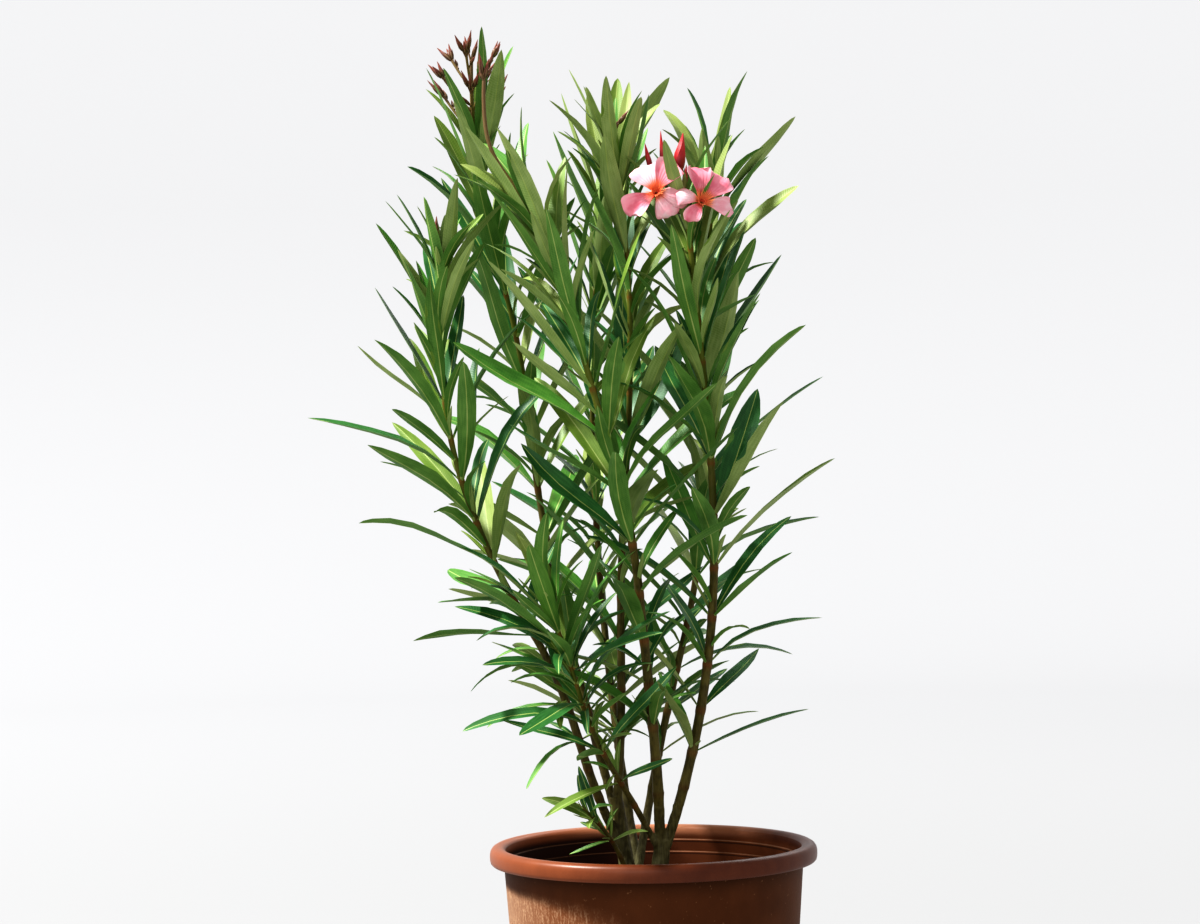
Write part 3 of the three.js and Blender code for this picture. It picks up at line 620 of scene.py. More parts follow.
# The bark's marks are its age, from 1 at the foot to 0 at the tip, and how near the point is to a joint.
bark = Finish("cane_bark", 0.5, Specular_IOR_Level=0.2)
age = bark.mark("first_mark")
joint = bark.mark("second_mark")
lines = bark.cloud(0.0016, 4.0, bark.stretched(1.0, 0.16))
blotches = bark.cloud(0.012, 4.0)
cracks = (lines * 0.45 + blotches * 0.55).between(0.3, 0.7)
young = bark.blend(blotches, (0.085, 0.11, 0.012), (0.17, 0.18, 0.03))
brown = bark.blend(cracks, (0.048, 0.037, 0.009), (0.135, 0.11, 0.027))
old = bark.blend(cracks, (0.042, 0.037, 0.015), (0.2, 0.19, 0.1))
stem_colour = bark.blend((age + blotches * 0.25).between(0.3, 0.66), young, brown)
stem_colour = bark.blend((age + blotches * 0.1).between(0.9, 1.1), stem_colour, old)
redness = joint * (1 - age.between(0.6, 0.95)) * 0.55
bark.feed("Base Color", bark.blend(redness, stem_colour, (0.21, 0.05, 0.012)))
bark.relief(lines * 0.7 + blotches * 0.3, 0.0006)


def bark_tube(heap, cane, start, end):
    """A length of a cane, with a collar and scars at each joint."""
    marks, rings, joint_places = [], [], joints(cane)
    count = max(2, round((end - start) / BARK_STEP))
    for i in range(count + 1):
        s = mix(start, end, i / count)
        place, way = cane["stem"].on(s)
        near = np.exp(-((s - joint_places) / COLLAR["half"]) ** 2).sum()
        above = np.exp(-((s - joint_places - SCARS["above"]) / SCARS["half"]) ** 2).sum()
        radius = girth(cane, max(s, 0)) * (1 + COLLAR["swell"] * near + SCARS["swell"] * above)
        if cane["trunk"] is None:
            radius += CANE_FLARE * cane["radius"][0] * math.exp(-max(s, 0) / FLARE_HEIGHT)
        elif s < start + 5:
            radius *= 0.93 + 0.014 * (s - start)
        around = ring(place, way, radius, CANE_SIDES)
        for j, p in enumerate(around):
            bump = 1 + 0.035 * grain_at(p, 9, 9) + 0.02 * grain_at(p, 2, 9)
            around[j] = place + (p - place) * bump
        rings.append(around)
        below = 0 if cane["trunk"] is None else TRUNK_AGE
        age_here = 1 - (s + below) / (cane["length"] + TRUNK_AGE)
        marks.append((min(1.0, age_here), min(1.0, near)))
    heap.tube(rings, marks)


def forked_trunk(name, trunk):
    """A trunk grown together with the first lengths of its canes, by remeshing them as one skin."""
    heap = Heap()
    foot, top = np.array((*trunk["foot"], GROUND)), np.array(trunk["top"])
    way = unit(top - foot)
    rings = []
    for t in np.linspace(-0.05, 1.0, 24):
        flare = trunk["flare"] * math.exp(-max(t, 0) * (top[2] - foot[2]) / FLARE_HEIGHT)
        rings.append(ring(mix(foot, top, t), way, mix(*trunk["radius"], max(t, 0)) + flare, TRUNK_SIDES))
    heap.tube(rings)
    for cane in CANES:
        if cane["trunk"] == name:
            lengths = np.linspace(0, cane["stub"], 10)
            heap.tube([ring(*cane["stem"].on(s), girth(cane, s), 20) for s in lengths])
    piece = heap.piece(f"{name}_bark", [bark], 60)
    skin = piece.modifiers.new("skin", "REMESH")
    skin.mode, skin.voxel_size = "VOXEL", TRUNK_VOXEL
    ease = piece.modifiers.new("ease", "SMOOTH")
    ease.factor, ease.iterations = 0.5, 6
    apply_modifiers(piece)
    mesh = piece.data
    points, normals = np.empty((2, len(mesh.vertices), 3))
    for values, kind in ((points, "co"), (normals, "normal")):
        mesh.vertices.foreach_get(kind, values.ravel())
    for i, (p, n) in enumerate(zip(points, normals)):
        rough = 0.5 * grain_at(p, 0.006, 0.006) + 0.3 * grain_at(p, 0.002, 0.009)
        points[i] = p + n * rough * MM
    mesh.vertices.foreach_set("co", points.ravel())
    heights = points[:, 2] / MM
    set_mark(mesh, "first_mark", 1 - (heights - GROUND) / TRUNK_YOUTH)
    set_mark(mesh, "second_mark", heights * 0)
    mesh.update()
    smooth(piece, 60)
    return piece


for name, trunk in TRUNKS.items():
    keep(forked_trunk(name, trunk), "bark", name)

# ---- Leaves ----
# Leathery, narrow leaves in whorls of three, each folded a little along a pale midrib: glossy dark green
# above and paler below, and yellow-green while they are young. Short side shoots and small young leaves
# grow between them.

# Slender is a leaf's width for its length. Narrowed, pointed, cupped and arched are the ranges that each leaf
# takes its own from, and turns are the ways that it may be turned aside to find room.
LEAF = dict(
    slender=0.172, narrowed=(0.58, 1.0), pointed=(0.75, 1.25), cupped=(0.15, 0.5), arched=(-10, 34),
    turns=(0, 15, -15, 30, -30), jitter=dict(turn=16, spread=9, length=0.14, twist=46, droop=10),
)
SHOOT = dict(
    length=(56, 84), radius=(1.5, 0.9), spread=34, lift=0.35, bare=0.34, gap=17, blade=(42, 56),
    leaf_spread=(38, 24), droop=8, turn=7,
)


def rooted(leaf, extra=0.0):
    """The leaf, turned round its stem by extra degrees."""
    turn = math.radians(leaf["turn"] + extra)
    side = np.array((math.cos(turn), math.sin(turn), 0))
    out = unit(side - leaf["way"] * side.dot(leaf["way"]))
    return {**leaf, "out": out, "turn": leaf["turn"] + extra}


def spine(leaf, t):
    """The midrib's line at each t, with the leaf's way across and its face there."""
    t = np.atleast_1d(np.asarray(t, dtype=float))
    bend, first = math.radians(leaf["droop"]), math.radians(leaf["spread"])
    angle = first + bend * t
    if abs(bend) < 1e-4:
        up, out = math.cos(first) * t, math.sin(first) * t
    else:
        up, out = (np.sin(angle) - math.sin(first)) / bend, (math.cos(first) - np.cos(angle)) / bend
    way, side = leaf["way"], np.cross(leaf["way"], leaf["out"])
    centre = leaf["place"] + leaf["length"] * (np.outer(up, way) + np.outer(out, leaf["out"]))
    face = np.outer(np.sin(angle), way) - np.outer(np.cos(angle), leaf["out"])
    turn = math.radians(leaf["twist"]) * t
    across = np.outer(np.cos(turn), side) + face * np.sin(turn)[:, None]
    face = face * np.cos(turn)[:, None] - np.outer(np.sin(turn), side)
    return centre, across, face


def whorl(place, way, turn, sizes, draw):
    """Three leaves round a stem, each uneven in its own way."""
    jitter, found = LEAF["jitter"], []

    def uneven(amount):
        return amount * (2 * draw() - 1)

    for third in (0, 120, 240):
        leaf = dict(place=place, way=way, turn=turn + third + uneven(jitter["turn"]))
        leaf["spread"] = sizes["spread"] + uneven(jitter["spread"])
        leaf["length"] = sizes["length"] * (1 + uneven(jitter["length"]))
        leaf["twist"] = uneven(jitter["twist"])
        leaf["droop"] = sizes["droop"] + uneven(jitter["droop"])
        leaf["fallen"] = draw() < sizes.get("fallen", 0)
        found.append(leaf)
    return found


solid_points = kdtree.KDTree(sum(len(o.data.vertices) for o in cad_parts.values()))
for index, p in enumerate(v.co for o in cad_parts.values() for v in o.data.vertices):
    solid_points.insert(p, index)
solid_points.balance()


def stands(points):
    """True where one of these points is a corner of the plant's solids."""
    return any(solid_points.find(Vector(p * MM))[2] < 0.1 * MM for p in points)


def settled(leaf):
    """The leaf as it stands on the plant, turned aside where it had to be, or None where it found no room."""
    for extra in () if leaf["fallen"] else LEAF["turns"]:
        tried = rooted(leaf, extra)
        if stands(spine(tried, 1)[0]):
            return tried
    return None


# How far along each ring of a leaf is, and its width there: a short stalk, widest past the middle, a long
# point.
RINGS = np.array((0, 0.05, 0.14, 0.28, 0.45, 0.62, 0.78, 0.9, 0.965))
WIDTHS = np.sin(np.pi * RINGS**1.1) ** 0.68
HALFWAY = 0.52  # where the fold between the midrib and the edge lies
# How far across the leaf each point of a ring lies: four on the upper skin and both edges, then two below.
ACROSS = (-1, -HALFWAY, -0.05, 0.05, HALFWAY, 1, 0.05, -0.05)


def add_leaf(heap, leaf, draw, top, under, slender=None):
    """One leaf: a folded blade with a raised pale midrib on both its sides."""
    length, arch = leaf["length"], mix(*LEAF["arched"], draw())
    leaf = {**leaf, "spread": leaf["spread"] - arch / 2, "droop": leaf["droop"] + arch}
    half = length * (slender or LEAF["slender"] * mix(*LEAF["narrowed"], draw())) / 2
    stalk = 0.6 + 0.005 * length
    outline = WIDTHS ** mix(*LEAF["pointed"], draw())
    reach = np.maximum(half * outline, stalk * (1 - RINGS) ** 0.5)[:, None]
    centre, across, face = spine(leaf, RINGS)
    sway, sickle = 0.018 * length * (2 * draw() - 1), 0.045 * length * (2 * draw() - 1)
    centre = centre + face * (sway * np.sin(2 * np.pi * RINGS))[:, None]
    centre = centre + across * (sickle * np.sin(np.pi * RINGS))[:, None]
    ripple, phase = 0.07 * draw(), 2 * np.pi * draw()
    wave = [ripple * np.sin(phase + k * 2.1 + 15 * RINGS)[:, None] * reach for k in (0, 1)]
    fold = mix(*LEAF["cupped"], draw()) * reach
    rib = np.minimum(0.3 + 0.0026 * length * (1 - RINGS), 0.9 * reach[:, 0])[:, None]
    keel = (0.25 + 0.0055 * length * (1 - RINGS) ** 1.3)[:, None]
    bulge = 0.04 * reach
    columns = [
        centre - across * reach + face * (fold + wave[0]),
        centre - across * reach * HALFWAY + face * (0.45 * fold + bulge + 0.4 * wave[0]),
        centre - across * rib + face * (0.01 * reach + 0.12),
        centre + across * rib + face * (0.01 * reach + 0.12),
        centre + across * reach * HALFWAY + face * (0.45 * fold + bulge + 0.4 * wave[1]),
        centre + across * reach + face * (fold + wave[1]),
        centre + across * rib - face * keel,
        centre - across * rib - face * keel,
    ]
    points = np.stack(columns, axis=1).reshape(-1, 3)
    tip = spine(leaf, 1)[0][0]
    wide = len(columns)
    faces, slots = [], []
    for i in range(len(RINGS)):
        for j in range(wide):
            k = (j + 1) % wide
            here, beside = i * wide + j, i * wide + k
            if i == len(RINGS) - 1:
                faces.append((beside, here, len(points)))
            else:
                faces.append((beside, here, here + wide, beside + wide))
            slots.append(RIB if j in (2, 6) or i == 0 else under if j >= 5 else top)
    faces.append(tuple(range(wide)))
    slots.append(RIB)
    marks = [(t * length / 100, u) for t in RINGS for u in ACROSS]
    heap.add(list(points) + [tip], faces, slots, marks + [(length / 100, 0)])


def leaf_finish(name, dark, light, roughness, veins, coat):
    """A leaf's skin: uneven green, with faint side veins. Its marks run along and across the leaf."""
    made = Finish(name, roughness, Specular_IOR_Level=0.3, Coat_Weight=coat, Coat_Roughness=0.35)
    length = made.mark("first_mark")
    across = made.mark("second_mark")
    ribs = (length * 260 - across.abs() * 9).sin() * 0.5 + 0.5
    mottle = made.cloud(0.03, 3.0).between(0.3, 0.7)
    lengthwise = made.node("ShaderNodeCombineXYZ", {}, {0: length * 2.2, 1: across * 2.6})
    streaks = made.cloud(0.5, 3.0, lengthwise).between(0.4, 0.62)
    base = made.blend(mottle * 0.6 + streaks * 0.4, dark, light)
    margin = across.abs().between(0.88, 1.0)
    made.feed("Base Color", made.blend(ribs * veins + margin * 0.45, base, light))
    made.relief(ribs, 0.00006)
    return made


leaf_finishes = [
    leaf_finish("leaf_top_deep", (0.016, 0.082, 0.018), (0.048, 0.178, 0.042), 0.45, 0.15, 0.08),
    leaf_finish("leaf_top_green", (0.048, 0.158, 0.022), (0.112, 0.275, 0.046), 0.47, 0.15, 0.08),
    leaf_finish("leaf_top_olive", (0.100, 0.180, 0.022), (0.195, 0.285, 0.052), 0.5, 0.2, 0.05),
    leaf_finish("leaf_top_young", (0.155, 0.225, 0.042), (0.290, 0.350, 0.110), 0.53, 0.3, 0.03),
    leaf_finish("leaf_under_green", (0.062, 0.156, 0.026), (0.142, 0.270, 0.058), 0.6, 0.25, 0.0),
    leaf_finish("leaf_under_pale", (0.175, 0.250, 0.066), (0.320, 0.400, 0.150), 0.6, 0.3, 0.0),
    leaf_finish("leaf_midrib", (0.250, 0.330, 0.075), (0.390, 0.450, 0.170), 0.55, 0.1, 0.0),
]
DEEP, GREEN, OLIVE, YOUNG, UNDER, PALE, RIB = range(7)


def tints(height, draw):
    """A leaf's upper and lower colour. Leaves are darkest low on the cane and fresher towards the tip."""
    chance = draw()
    if height > 0.78 and chance < 0.24:
        top = YOUNG
    elif chance < 0.52 - 0.16 * height:
        top = DEEP
    elif chance < 0.76 - 0.1 * height:
        top = GREEN
    elif chance < 0.95:
        top = OLIVE
    else:
        top = YOUNG
    under = PALE if top == YOUNG or draw() < 0.26 else UNDER
    return top, under


def side_shoot(place, way, turn, draw):
    """A thin twig from a leaf's foot, with small leaves of its own."""
    grown = rooted(dict(way=way, turn=turn))
    length = mix(*SHOOT["length"], draw())
    rise = math.radians(SHOOT["spread"])
    tip = unit(way * math.cos(rise) + grown["out"] * math.sin(rise) + (0, 0, SHOOT["lift"]))
    leaves, s = [], length * SHOOT["bare"]
    while s < length:
        sizes = dict(length=mix(*SHOOT["blade"], draw()), droop=SHOOT["droop"])
        sizes["spread"] = mix(*SHOOT["leaf_spread"], s / length)
        leaves += whorl(place + tip * s, tip, turn + s * SHOOT["turn"], sizes, draw)
        s += SHOOT["gap"]
    ends = [ring(place + tip * s, tip, r, 3, grown["out"]) for s, r in zip((0, length), SHOOT["radius"])]
    return tip, length, ends, leaves


def small_leaf(place, way, turn, spread, length, draw):
    """A young leaf, held close to the stem."""
    leaf = dict(place=place, way=way, turn=turn, spread=spread, length=length)
    leaf["twist"] = 50 * (draw() - 0.5)
    leaf["droop"] = 14 * draw()
    return rooted(leaf)


SHORT_LEAVES = (0.25, 1.0)  # how many of the angles bear one, at the foot and at the tip

for cane in CANES:
    wood, foliage = Heap(), Heap()
    draw, tint_draw = seeded(cane["seed"]), seeded(cane["seed"] + 5000)
    levels = whorls(cane)
    for level in levels:
        place, way = cane["stem"].on(level["s"])
        height = level["s"] / cane["length"]
        for leaf in whorl(place, way, level["turn"], level, draw):
            leaf = settled(leaf)
            if leaf:
                add_leaf(foliage, leaf, tint_draw, *tints(height, tint_draw))
        chance, side = draw(), draw()
        if chance < cane["shoots"]:
            turn = level["turn"] + 60 + 120 * int(3 * side)
            tip, length, ends, leaves = side_shoot(place, way, turn, draw)
            if stands(ends[1]):
                steps = np.linspace(0, 1, 9)
                rings = [ring(place + tip * length * t, tip, mix(*SHOOT["radius"], t), 8) for t in steps]
                wood.tube(rings, [(0.35 - 0.3 * t, 0.15) for t in steps], point=True)
                top, under = tints(0.6 + 0.35 * tint_draw(), tint_draw)
                for leaf in filter(None, map(settled, leaves)):
                    add_leaf(foliage, leaf, tint_draw, top, under)
                for k in range(3):
                    size = 20 + 10 * tint_draw()
                    young = small_leaf(place + tip * length, tip, 120 * k, 16, size, tint_draw)
                    add_leaf(foliage, young, tint_draw, YOUNG, PALE)
        # Younger leaves in the angles of the whorl, and short leaves on the length of stem above it.
        for k in range(3):
            turn = level["turn"] + 60 + 120 * k + 40 * (tint_draw() - 0.5)
            if tint_draw() < 0.35:
                spread, length = 18 + 22 * tint_draw(), 18 + 30 * tint_draw()
                young = small_leaf(place + way, way, turn, spread, length, tint_draw)
                add_leaf(foliage, young, tint_draw, OLIVE if tint_draw() < 0.6 else YOUNG, PALE)
            if tint_draw() < mix(*SHORT_LEAVES, height) and level["s"] + 24 < cane["length"]:
                higher, up = cane["stem"].on(level["s"] + 9 + 14 * tint_draw())
                length = level["length"] * mix(0.45, 0.72, tint_draw()) * mix(0.85, 1.3, height)
                spread = level["spread"] * mix(0.7, 1.05, tint_draw())
                short = small_leaf(higher, up, turn, spread, length, tint_draw)
                short["droop"] += level["droop"] + 30 * tint_draw()
                add_leaf(foliage, short, tint_draw, *tints(height, tint_draw), slender=0.125)
    # The youngest leaves, upright round the tip.
    for k in range(cane.get("young", 5)):
        place, way = cane["stem"].on(cane["length"] - 3 * k)
        length = (34 + 9 * k) * min(1.0, cane["length"] / 400)
        young = small_leaf(place, way, 137 * k, 9 + 3 * k, length, tint_draw)
        add_leaf(foliage, young, tint_draw, YOUNG if k < 3 else GREEN, PALE, slender=0.13)
    start = -3 if cane["trunk"] is None else cane["stub"] - 3
    bark_tube(wood, cane, start, cane["length"])
    keep(wood.piece(f"{cane['name']}_bark", [bark], 60), "bark", f"{cane['name']}_stem")
    masses = [f"{cane['name']}_{part}_leaves" for part in cane["masses"]]
    keep(foliage.piece(f"{cane['name']}_leaves", leaf_finishes, 60), "leaves", *masses)

# ---- Trusses of buds ----
# Four canes end in a truss of unopened buds, and two of the trusses have side branches: thin brown stalks,
# and slim red-brown buds that each stand in five pointed sepals.

TRUSSES = [
    dict(
        name="back_left_buds", cane="back_left_cane", stalk=80, lean=(-6, 2), back=(0, 0),
        levels=(0.14, 0.4, 0.7), reach=44, cluster=3, bud=17, seed=4,
    ),
    dict(
        name="front_buds", cane="front_cane", stalk=124, lean=(-34, -34, -6, 4), back=(10, 8, 4, 0),
        levels=(), reach=0, cluster=5, bud=18, seed=9,
    ),
    dict(
        name="centre_buds", cane="centre_cane", stalk=27, lean=(-6, -4), back=(-4, 0),
        levels=(0.5,), reach=8, cluster=2, bud=15, seed=13,
    ),
    dict(
        name="left_buds", cane="left_cane", stalk=22, lean=(-12, -16), back=(-10, -10),
        levels=(), reach=0, cluster=4, bud=14, seed=6,
    ),
]
# Reach is how far a bud stands out with its own stalk, for the bud's length.
BUDS = dict(stalk=1.9, twig=1.0, radius=1.7, branch=0.8, splay=0.36, sunk=2, reach=1.22)

# The width of a bud from its foot to its point.
BUD_SHAPE = (
    (0, 0.4), (0.08, 0.66), (0.2, 0.9), (0.34, 1), (0.48, 0.9),
    (0.62, 0.66), (0.76, 0.42), (0.88, 0.24), (0.96, 0.1),
)


def cane_named(name):
    return next(cane for cane in CANES if cane["name"] == name)


def aside(axis):
    return (0, 1, 0) if abs(axis[0]) > 0.9 else (1, 0, 0)


def add_stalk(heap, start, end, radius, bend=(0, 0, 0), marks=(0.5, 0.0)):
    """A thin stalk, arched by bend at its middle."""
    way, bend = unit(end - start), np.array(bend, dtype=float)
    rings = []
    for t in np.linspace(0, 1, 7):
        centre = mix(start, end, t) + bend * math.sin(math.pi * t)
        swell = 1 + 0.25 * math.exp(-(t / 0.12) ** 2) + 0.2 * math.exp(-((1 - t) / 0.1) ** 2)
        rings.append(ring(centre, way, radius * (1 - 0.2 * t) * swell, 8, aside(way)))
    heap.tube(rings, [marks] * len(rings))


def add_bud(heap, foot, way, length, radius, draw, sepal=0.54):
    """A bud: furled petals wound to a point, in five sepals that lie close round its foot."""
    u = unit(np.cross(way, aside(way)))
    v = np.cross(way, u)
    wind, rings, marks = 2 * math.pi * draw(), [], []
    for t, wide in BUD_SHAPE:
        turns = wind + 1.6 * t + 2 * np.pi * np.arange(10) / 10
        spoke = radius * wide * (1 + 0.12 * t * np.cos(5 * (turns - wind - 1.6 * t)))
        around = np.outer(spoke * np.cos(turns), u) + np.outer(spoke * np.sin(turns), v)
        rings.append(foot + way * length * t + around)
        marks.append((t, wide))
    heap.tube(rings, marks, point=True)
    for k in range(5):
        a = wind + 2 * math.pi * k / 5 + 0.3
        out = math.cos(a) * u + math.sin(a) * v
        side = np.cross(way, out)
        long, half = length * sepal * (0.8 + 0.4 * draw()), radius * 0.48
        lines = []
        for t, rise, wide in ((0, 0.6, 0.7), (0.35, 1.0, 1), (0.7, 0.98, 0.6)):
            middle = foot + way * long * t + out * radius * rise
            reach, thick = side * half * wide, out * 0.3
            lines.append((middle - reach, middle + thick, middle + reach, middle - thick))
        points = [p for line in lines for p in line]
        points.append(foot + way * long + out * radius * (0.75 + 0.4 * draw()))
        faces = [
            (i + j, i + 4 + j, i + 4 + (j + 1) % 4, i + (j + 1) % 4) for i in (0, 4) for j in range(4)
        ]
        faces += [(8 + j, 12, 8 + (j + 1) % 4) for j in range(4)] + [(0, 1, 2, 3)]
        heap.add(points, faces, 1, [(t, 0) for t in (0.1, 0.45, 0.8) for _ in range(4)] + [(1, 0)])


def bud_finish(name, foot, tip, roughness):
    """A bud's skin, from its foot's colour to its tip's."""
    made = Finish(name, roughness)
    height = made.mark("first_mark")
    patches = made.cloud(0.0025, 3.0)
    made.feed("Base Color", made.blend((height + patches * 0.5 - 0.25).between(0.1, 0.8), foot, tip))
    made.relief(made.cloud(0.0008, 3.0), 0.00015)
    return made


bud_skins = [
    bud_finish("bud_petals", (0.10, 0.03, 0.014), (0.21, 0.055, 0.03), 0.5),
    bud_finish("bud_sepals", (0.10, 0.058, 0.018), (0.18, 0.11, 0.045), 0.55),
]
truss_bark = bud_finish("truss_stalks", (0.2, 0.155, 0.03), (0.14, 0.075, 0.024), 0.5)


def add_cluster(stalks, buds, truss, centre, axis, draw, own_draw):
    """The buds at the end of a stalk, splayed round its way."""
    for i in range(truss["cluster"]):
        turn = 2 * math.pi * (i + draw()) / truss["cluster"]
        out = unit(np.array((math.cos(turn), math.sin(turn), 0.25)) * BUDS["splay"] + axis)
        length = truss["bud"] * mix(0.8, 1.2, draw()) * BUDS["reach"]
        foot = centre - axis * BUDS["sunk"]
        neck = foot + out * length * mix(0.2, 0.55, own_draw())
        add_stalk(stalks, foot, neck, 1.0, marks=(0.8, 0))
        radius = BUDS["radius"] * mix(1.05, 1.25, own_draw())
        add_bud(buds, neck - out * 1.2, out, length * mix(0.72, 0.92, own_draw()), radius, own_draw)


for truss in TRUSSES:
    cane = cane_named(truss["cane"])
    draw = seeded(truss["seed"])
    own_draw = seeded(truss["seed"] + 700)
    tip, way = cane["stem"].on(cane["length"])
    stalk = Stem(tip + way * GAP, truss["stalk"], truss["lean"], truss["back"])
    stalks, buds = Heap(), Heap()
    steps = np.linspace(-0.06, 1, 26)
    rings = []
    for t in steps:
        place, up = stalk.on(t * truss["stalk"])
        knots = sum(math.exp(-((t - level) * truss["stalk"] / 2.5) ** 2) for level in truss["levels"])
        rings.append(ring(place, up, BUDS["stalk"] * (1.12 - 0.22 * t) * (1 + 0.25 * knots), 10))
    stalks.tube(rings, [(0.3 + 0.5 * t, 0) for t in steps])
    for i, level in enumerate(truss["levels"]):
        base, up = stalk.on(level * truss["stalk"])
        for k in range(3):
            turn = math.radians(120 * k + 60 * i + 40 * draw())
            out = unit(np.array((math.cos(turn), math.sin(turn), 0)) * BUDS["branch"] + up)
            end = base + out * truss["reach"] * (1.1 - 0.5 * level)
            add_stalk(stalks, base, end, BUDS["twig"] * 1.4, bend=(0, 0, -0.05 * truss["reach"]))
            add_cluster(stalks, buds, truss, end, out, draw, own_draw)
            side = unit(out + unit(np.cross(out, up)) * mix(-0.7, 0.7, own_draw()))
            fork = mix(base, end, mix(0.55, 0.75, own_draw()))
            add_stalk(stalks, fork, fork + side * 6, 0.9, marks=(0.8, 0))
            add_bud(buds, fork + side * 5, side, truss["bud"] * 0.7, BUDS["radius"] * 0.8, own_draw)
    add_cluster(stalks, buds, truss, *stalk.on(truss["stalk"]), draw, own_draw)
    keep(stalks.piece(f"{truss['name']}_stalks", [truss_bark], 60), "buds", truss["name"])
    keep(buds.piece(f"{truss['name']}_tips", bud_skins, 50), "buds")

# ---- Blossom ----
# Two open flowers, each with five broad pink petals set like the blades of a fan round a coral throat with a
# fringe, and above them red, tightly wound buds on short stalks.

# Each petal's turn round the flower from the right, its length and width, how far it leans forward and
# rolls back at its end, how its edges curl, and its finish. ROSE, the deeper pink, is partly the petals' own
# colour and partly painted shade.
BLUSH, ROSE, BACK = range(3)
BLOSSOM = dict(
    name="right_blossom", cane="right_cane", neck=(7, 2.2), pedicel=1.3, tube=(17, 1.7, 4),
    flowers=(
        dict(at=(-26, -3, 19), faces=(-0.16, -0.92, 0.34), petals=(
            (118, 30, 27, 0.3, 0.16, 0.5, BLUSH), (52, 33, 29, 0.62, 0.2, 0.4, ROSE),
            (-12, 29, 22, 0.1, 0.3, -0.4, BLUSH), (-62, 26, 23, -0.1, 0.3, -0.4, BLUSH),
            (217, 34, 26, 0.2, 0.1, 0.6, ROSE),
        )),
        dict(at=(8, -12, 9), faces=(0.3, -0.88, 0.34), petals=(
            (104, 34, 23, 0.5, 0.1, 0.6, ROSE), (50, 33, 26, 0.55, 0.12, 0.5, ROSE),
            (168, 24, 17, 0.5, 0.5, -0.8, BLUSH), (-10, 30, 20, 0.2, 0.1, 0.4, BLUSH),
            (236, 25, 16, 0.3, 0.3, 0.5, ROSE),
        )),
    ),
    buds=(
        dict(at=(-8, 2, 42), length=38, radius=5.6, lean=8),
        dict(at=(-21, 4, 46), length=36, radius=2.6, lean=-3),
        dict(at=(-32, 8, 46), length=26, radius=2.6, lean=-12),
        dict(at=(-2, 14, 30), length=22, radius=2.4, lean=6),
    ),
)
PETAL_STEPS = np.linspace(0, 1, 12)
PETAL_SIDES = np.linspace(-1, 1, 11)


def add_petal(heap, throat, mouth, axis, out, petal, draw):
    """One petal: a narrow claw from the throat that opens into a broad blade with a slanting, ruffled end."""
    length, width, lean, roll, curl, face = petal
    side = unit(np.cross(axis, out))
    slant, ruffle, phase = 0.2 if draw() < 0.7 else -0.2, 0.03 + 0.04 * draw(), 6.28 * draw()
    fronts, backs, marks = [], [], []
    for t in PETAL_STEPS:
        opened = math.sin(0.5 * math.pi * min(1.0, t / 0.74)) ** 1.5
        wide = (0.15 + 0.85 * opened) * (1 - 0.42 * max(0.0, (t - 0.74) / 0.26) ** 2.4)
        start = mix(throat, mouth, min(1.0, t / 0.2))
        for u in PETAL_SIDES:
            trim = 1 - (0.1 * u * u + 0.07 * (1 + u * np.sign(slant))) * max(0.0, (t - 0.62) / 0.38) ** 1.5
            p = start + out * length * t * trim + axis * length * (lean * t - (lean + roll) * t**2.6 * 0.7)
            p = p + side * (width / 2) * wide * u
            edge = curl * u * u * opened * width * 0.3
            waves = math.sin(phase + 3.1 * u) + 0.6 * math.sin(2 * phase + 6.5 * u)
            p = p + axis * (edge + ruffle * length * t * t * waves)
            fronts.append(p + axis * 0.3)
            backs.append(p - axis * 0.3)
            marks.append((t, u))
    wide, count = len(PETAL_SIDES), len(PETAL_STEPS)
    back, faces, slots = len(fronts), [], []
    for i in range(count - 1):
        for j in range(wide - 1):
            here = i * wide + j
            faces.append((here, here + 1, here + wide + 1, here + wide))
            faces.append((back + here, back + here + wide, back + here + wide + 1, back + here + 1))
            slots += [face, BACK]
    edge = list(range(wide)) + [i * wide + wide - 1 for i in range(1, count)]
    edge += [(count - 1) * wide + j for j in range(wide - 2, -1, -1)]
    edge += [i * wide for i in range(count - 2, 0, -1)]
    for a, b in zip(edge, edge[1:] + edge[:1]):
        faces.append((b, a, back + a, back + b))
        slots.append(face)
    heap.add(fronts + backs, faces, slots, marks + marks)


def petal_finish(name, middle, flush, margin, base):
    """A petal's skin: darker lines from its throat, a flush over part of it, and a margin of its own."""
    made = Finish(name, 0.6)
    height = made.mark("first_mark")
    across = made.mark("second_mark")
    lines = ((across * 24).sin() * 0.5 + 0.5) * (1 - height.between(0.3, 0.85))
    rim = (across.abs() * 0.75 + height * 0.6).between(0.72, 1.3)
    skin = made.blend(made.cloud(0.011, 2.0).between(0.4, 0.65), middle, flush)
    skin = made.blend(rim, skin, margin)
    skin = made.blend(lines * 0.5, skin, flush)
    made.feed("Base Color", made.blend(1 - height.between(0.1, 0.38), skin, base))
    made.relief(lines, 0.0002)
    return made


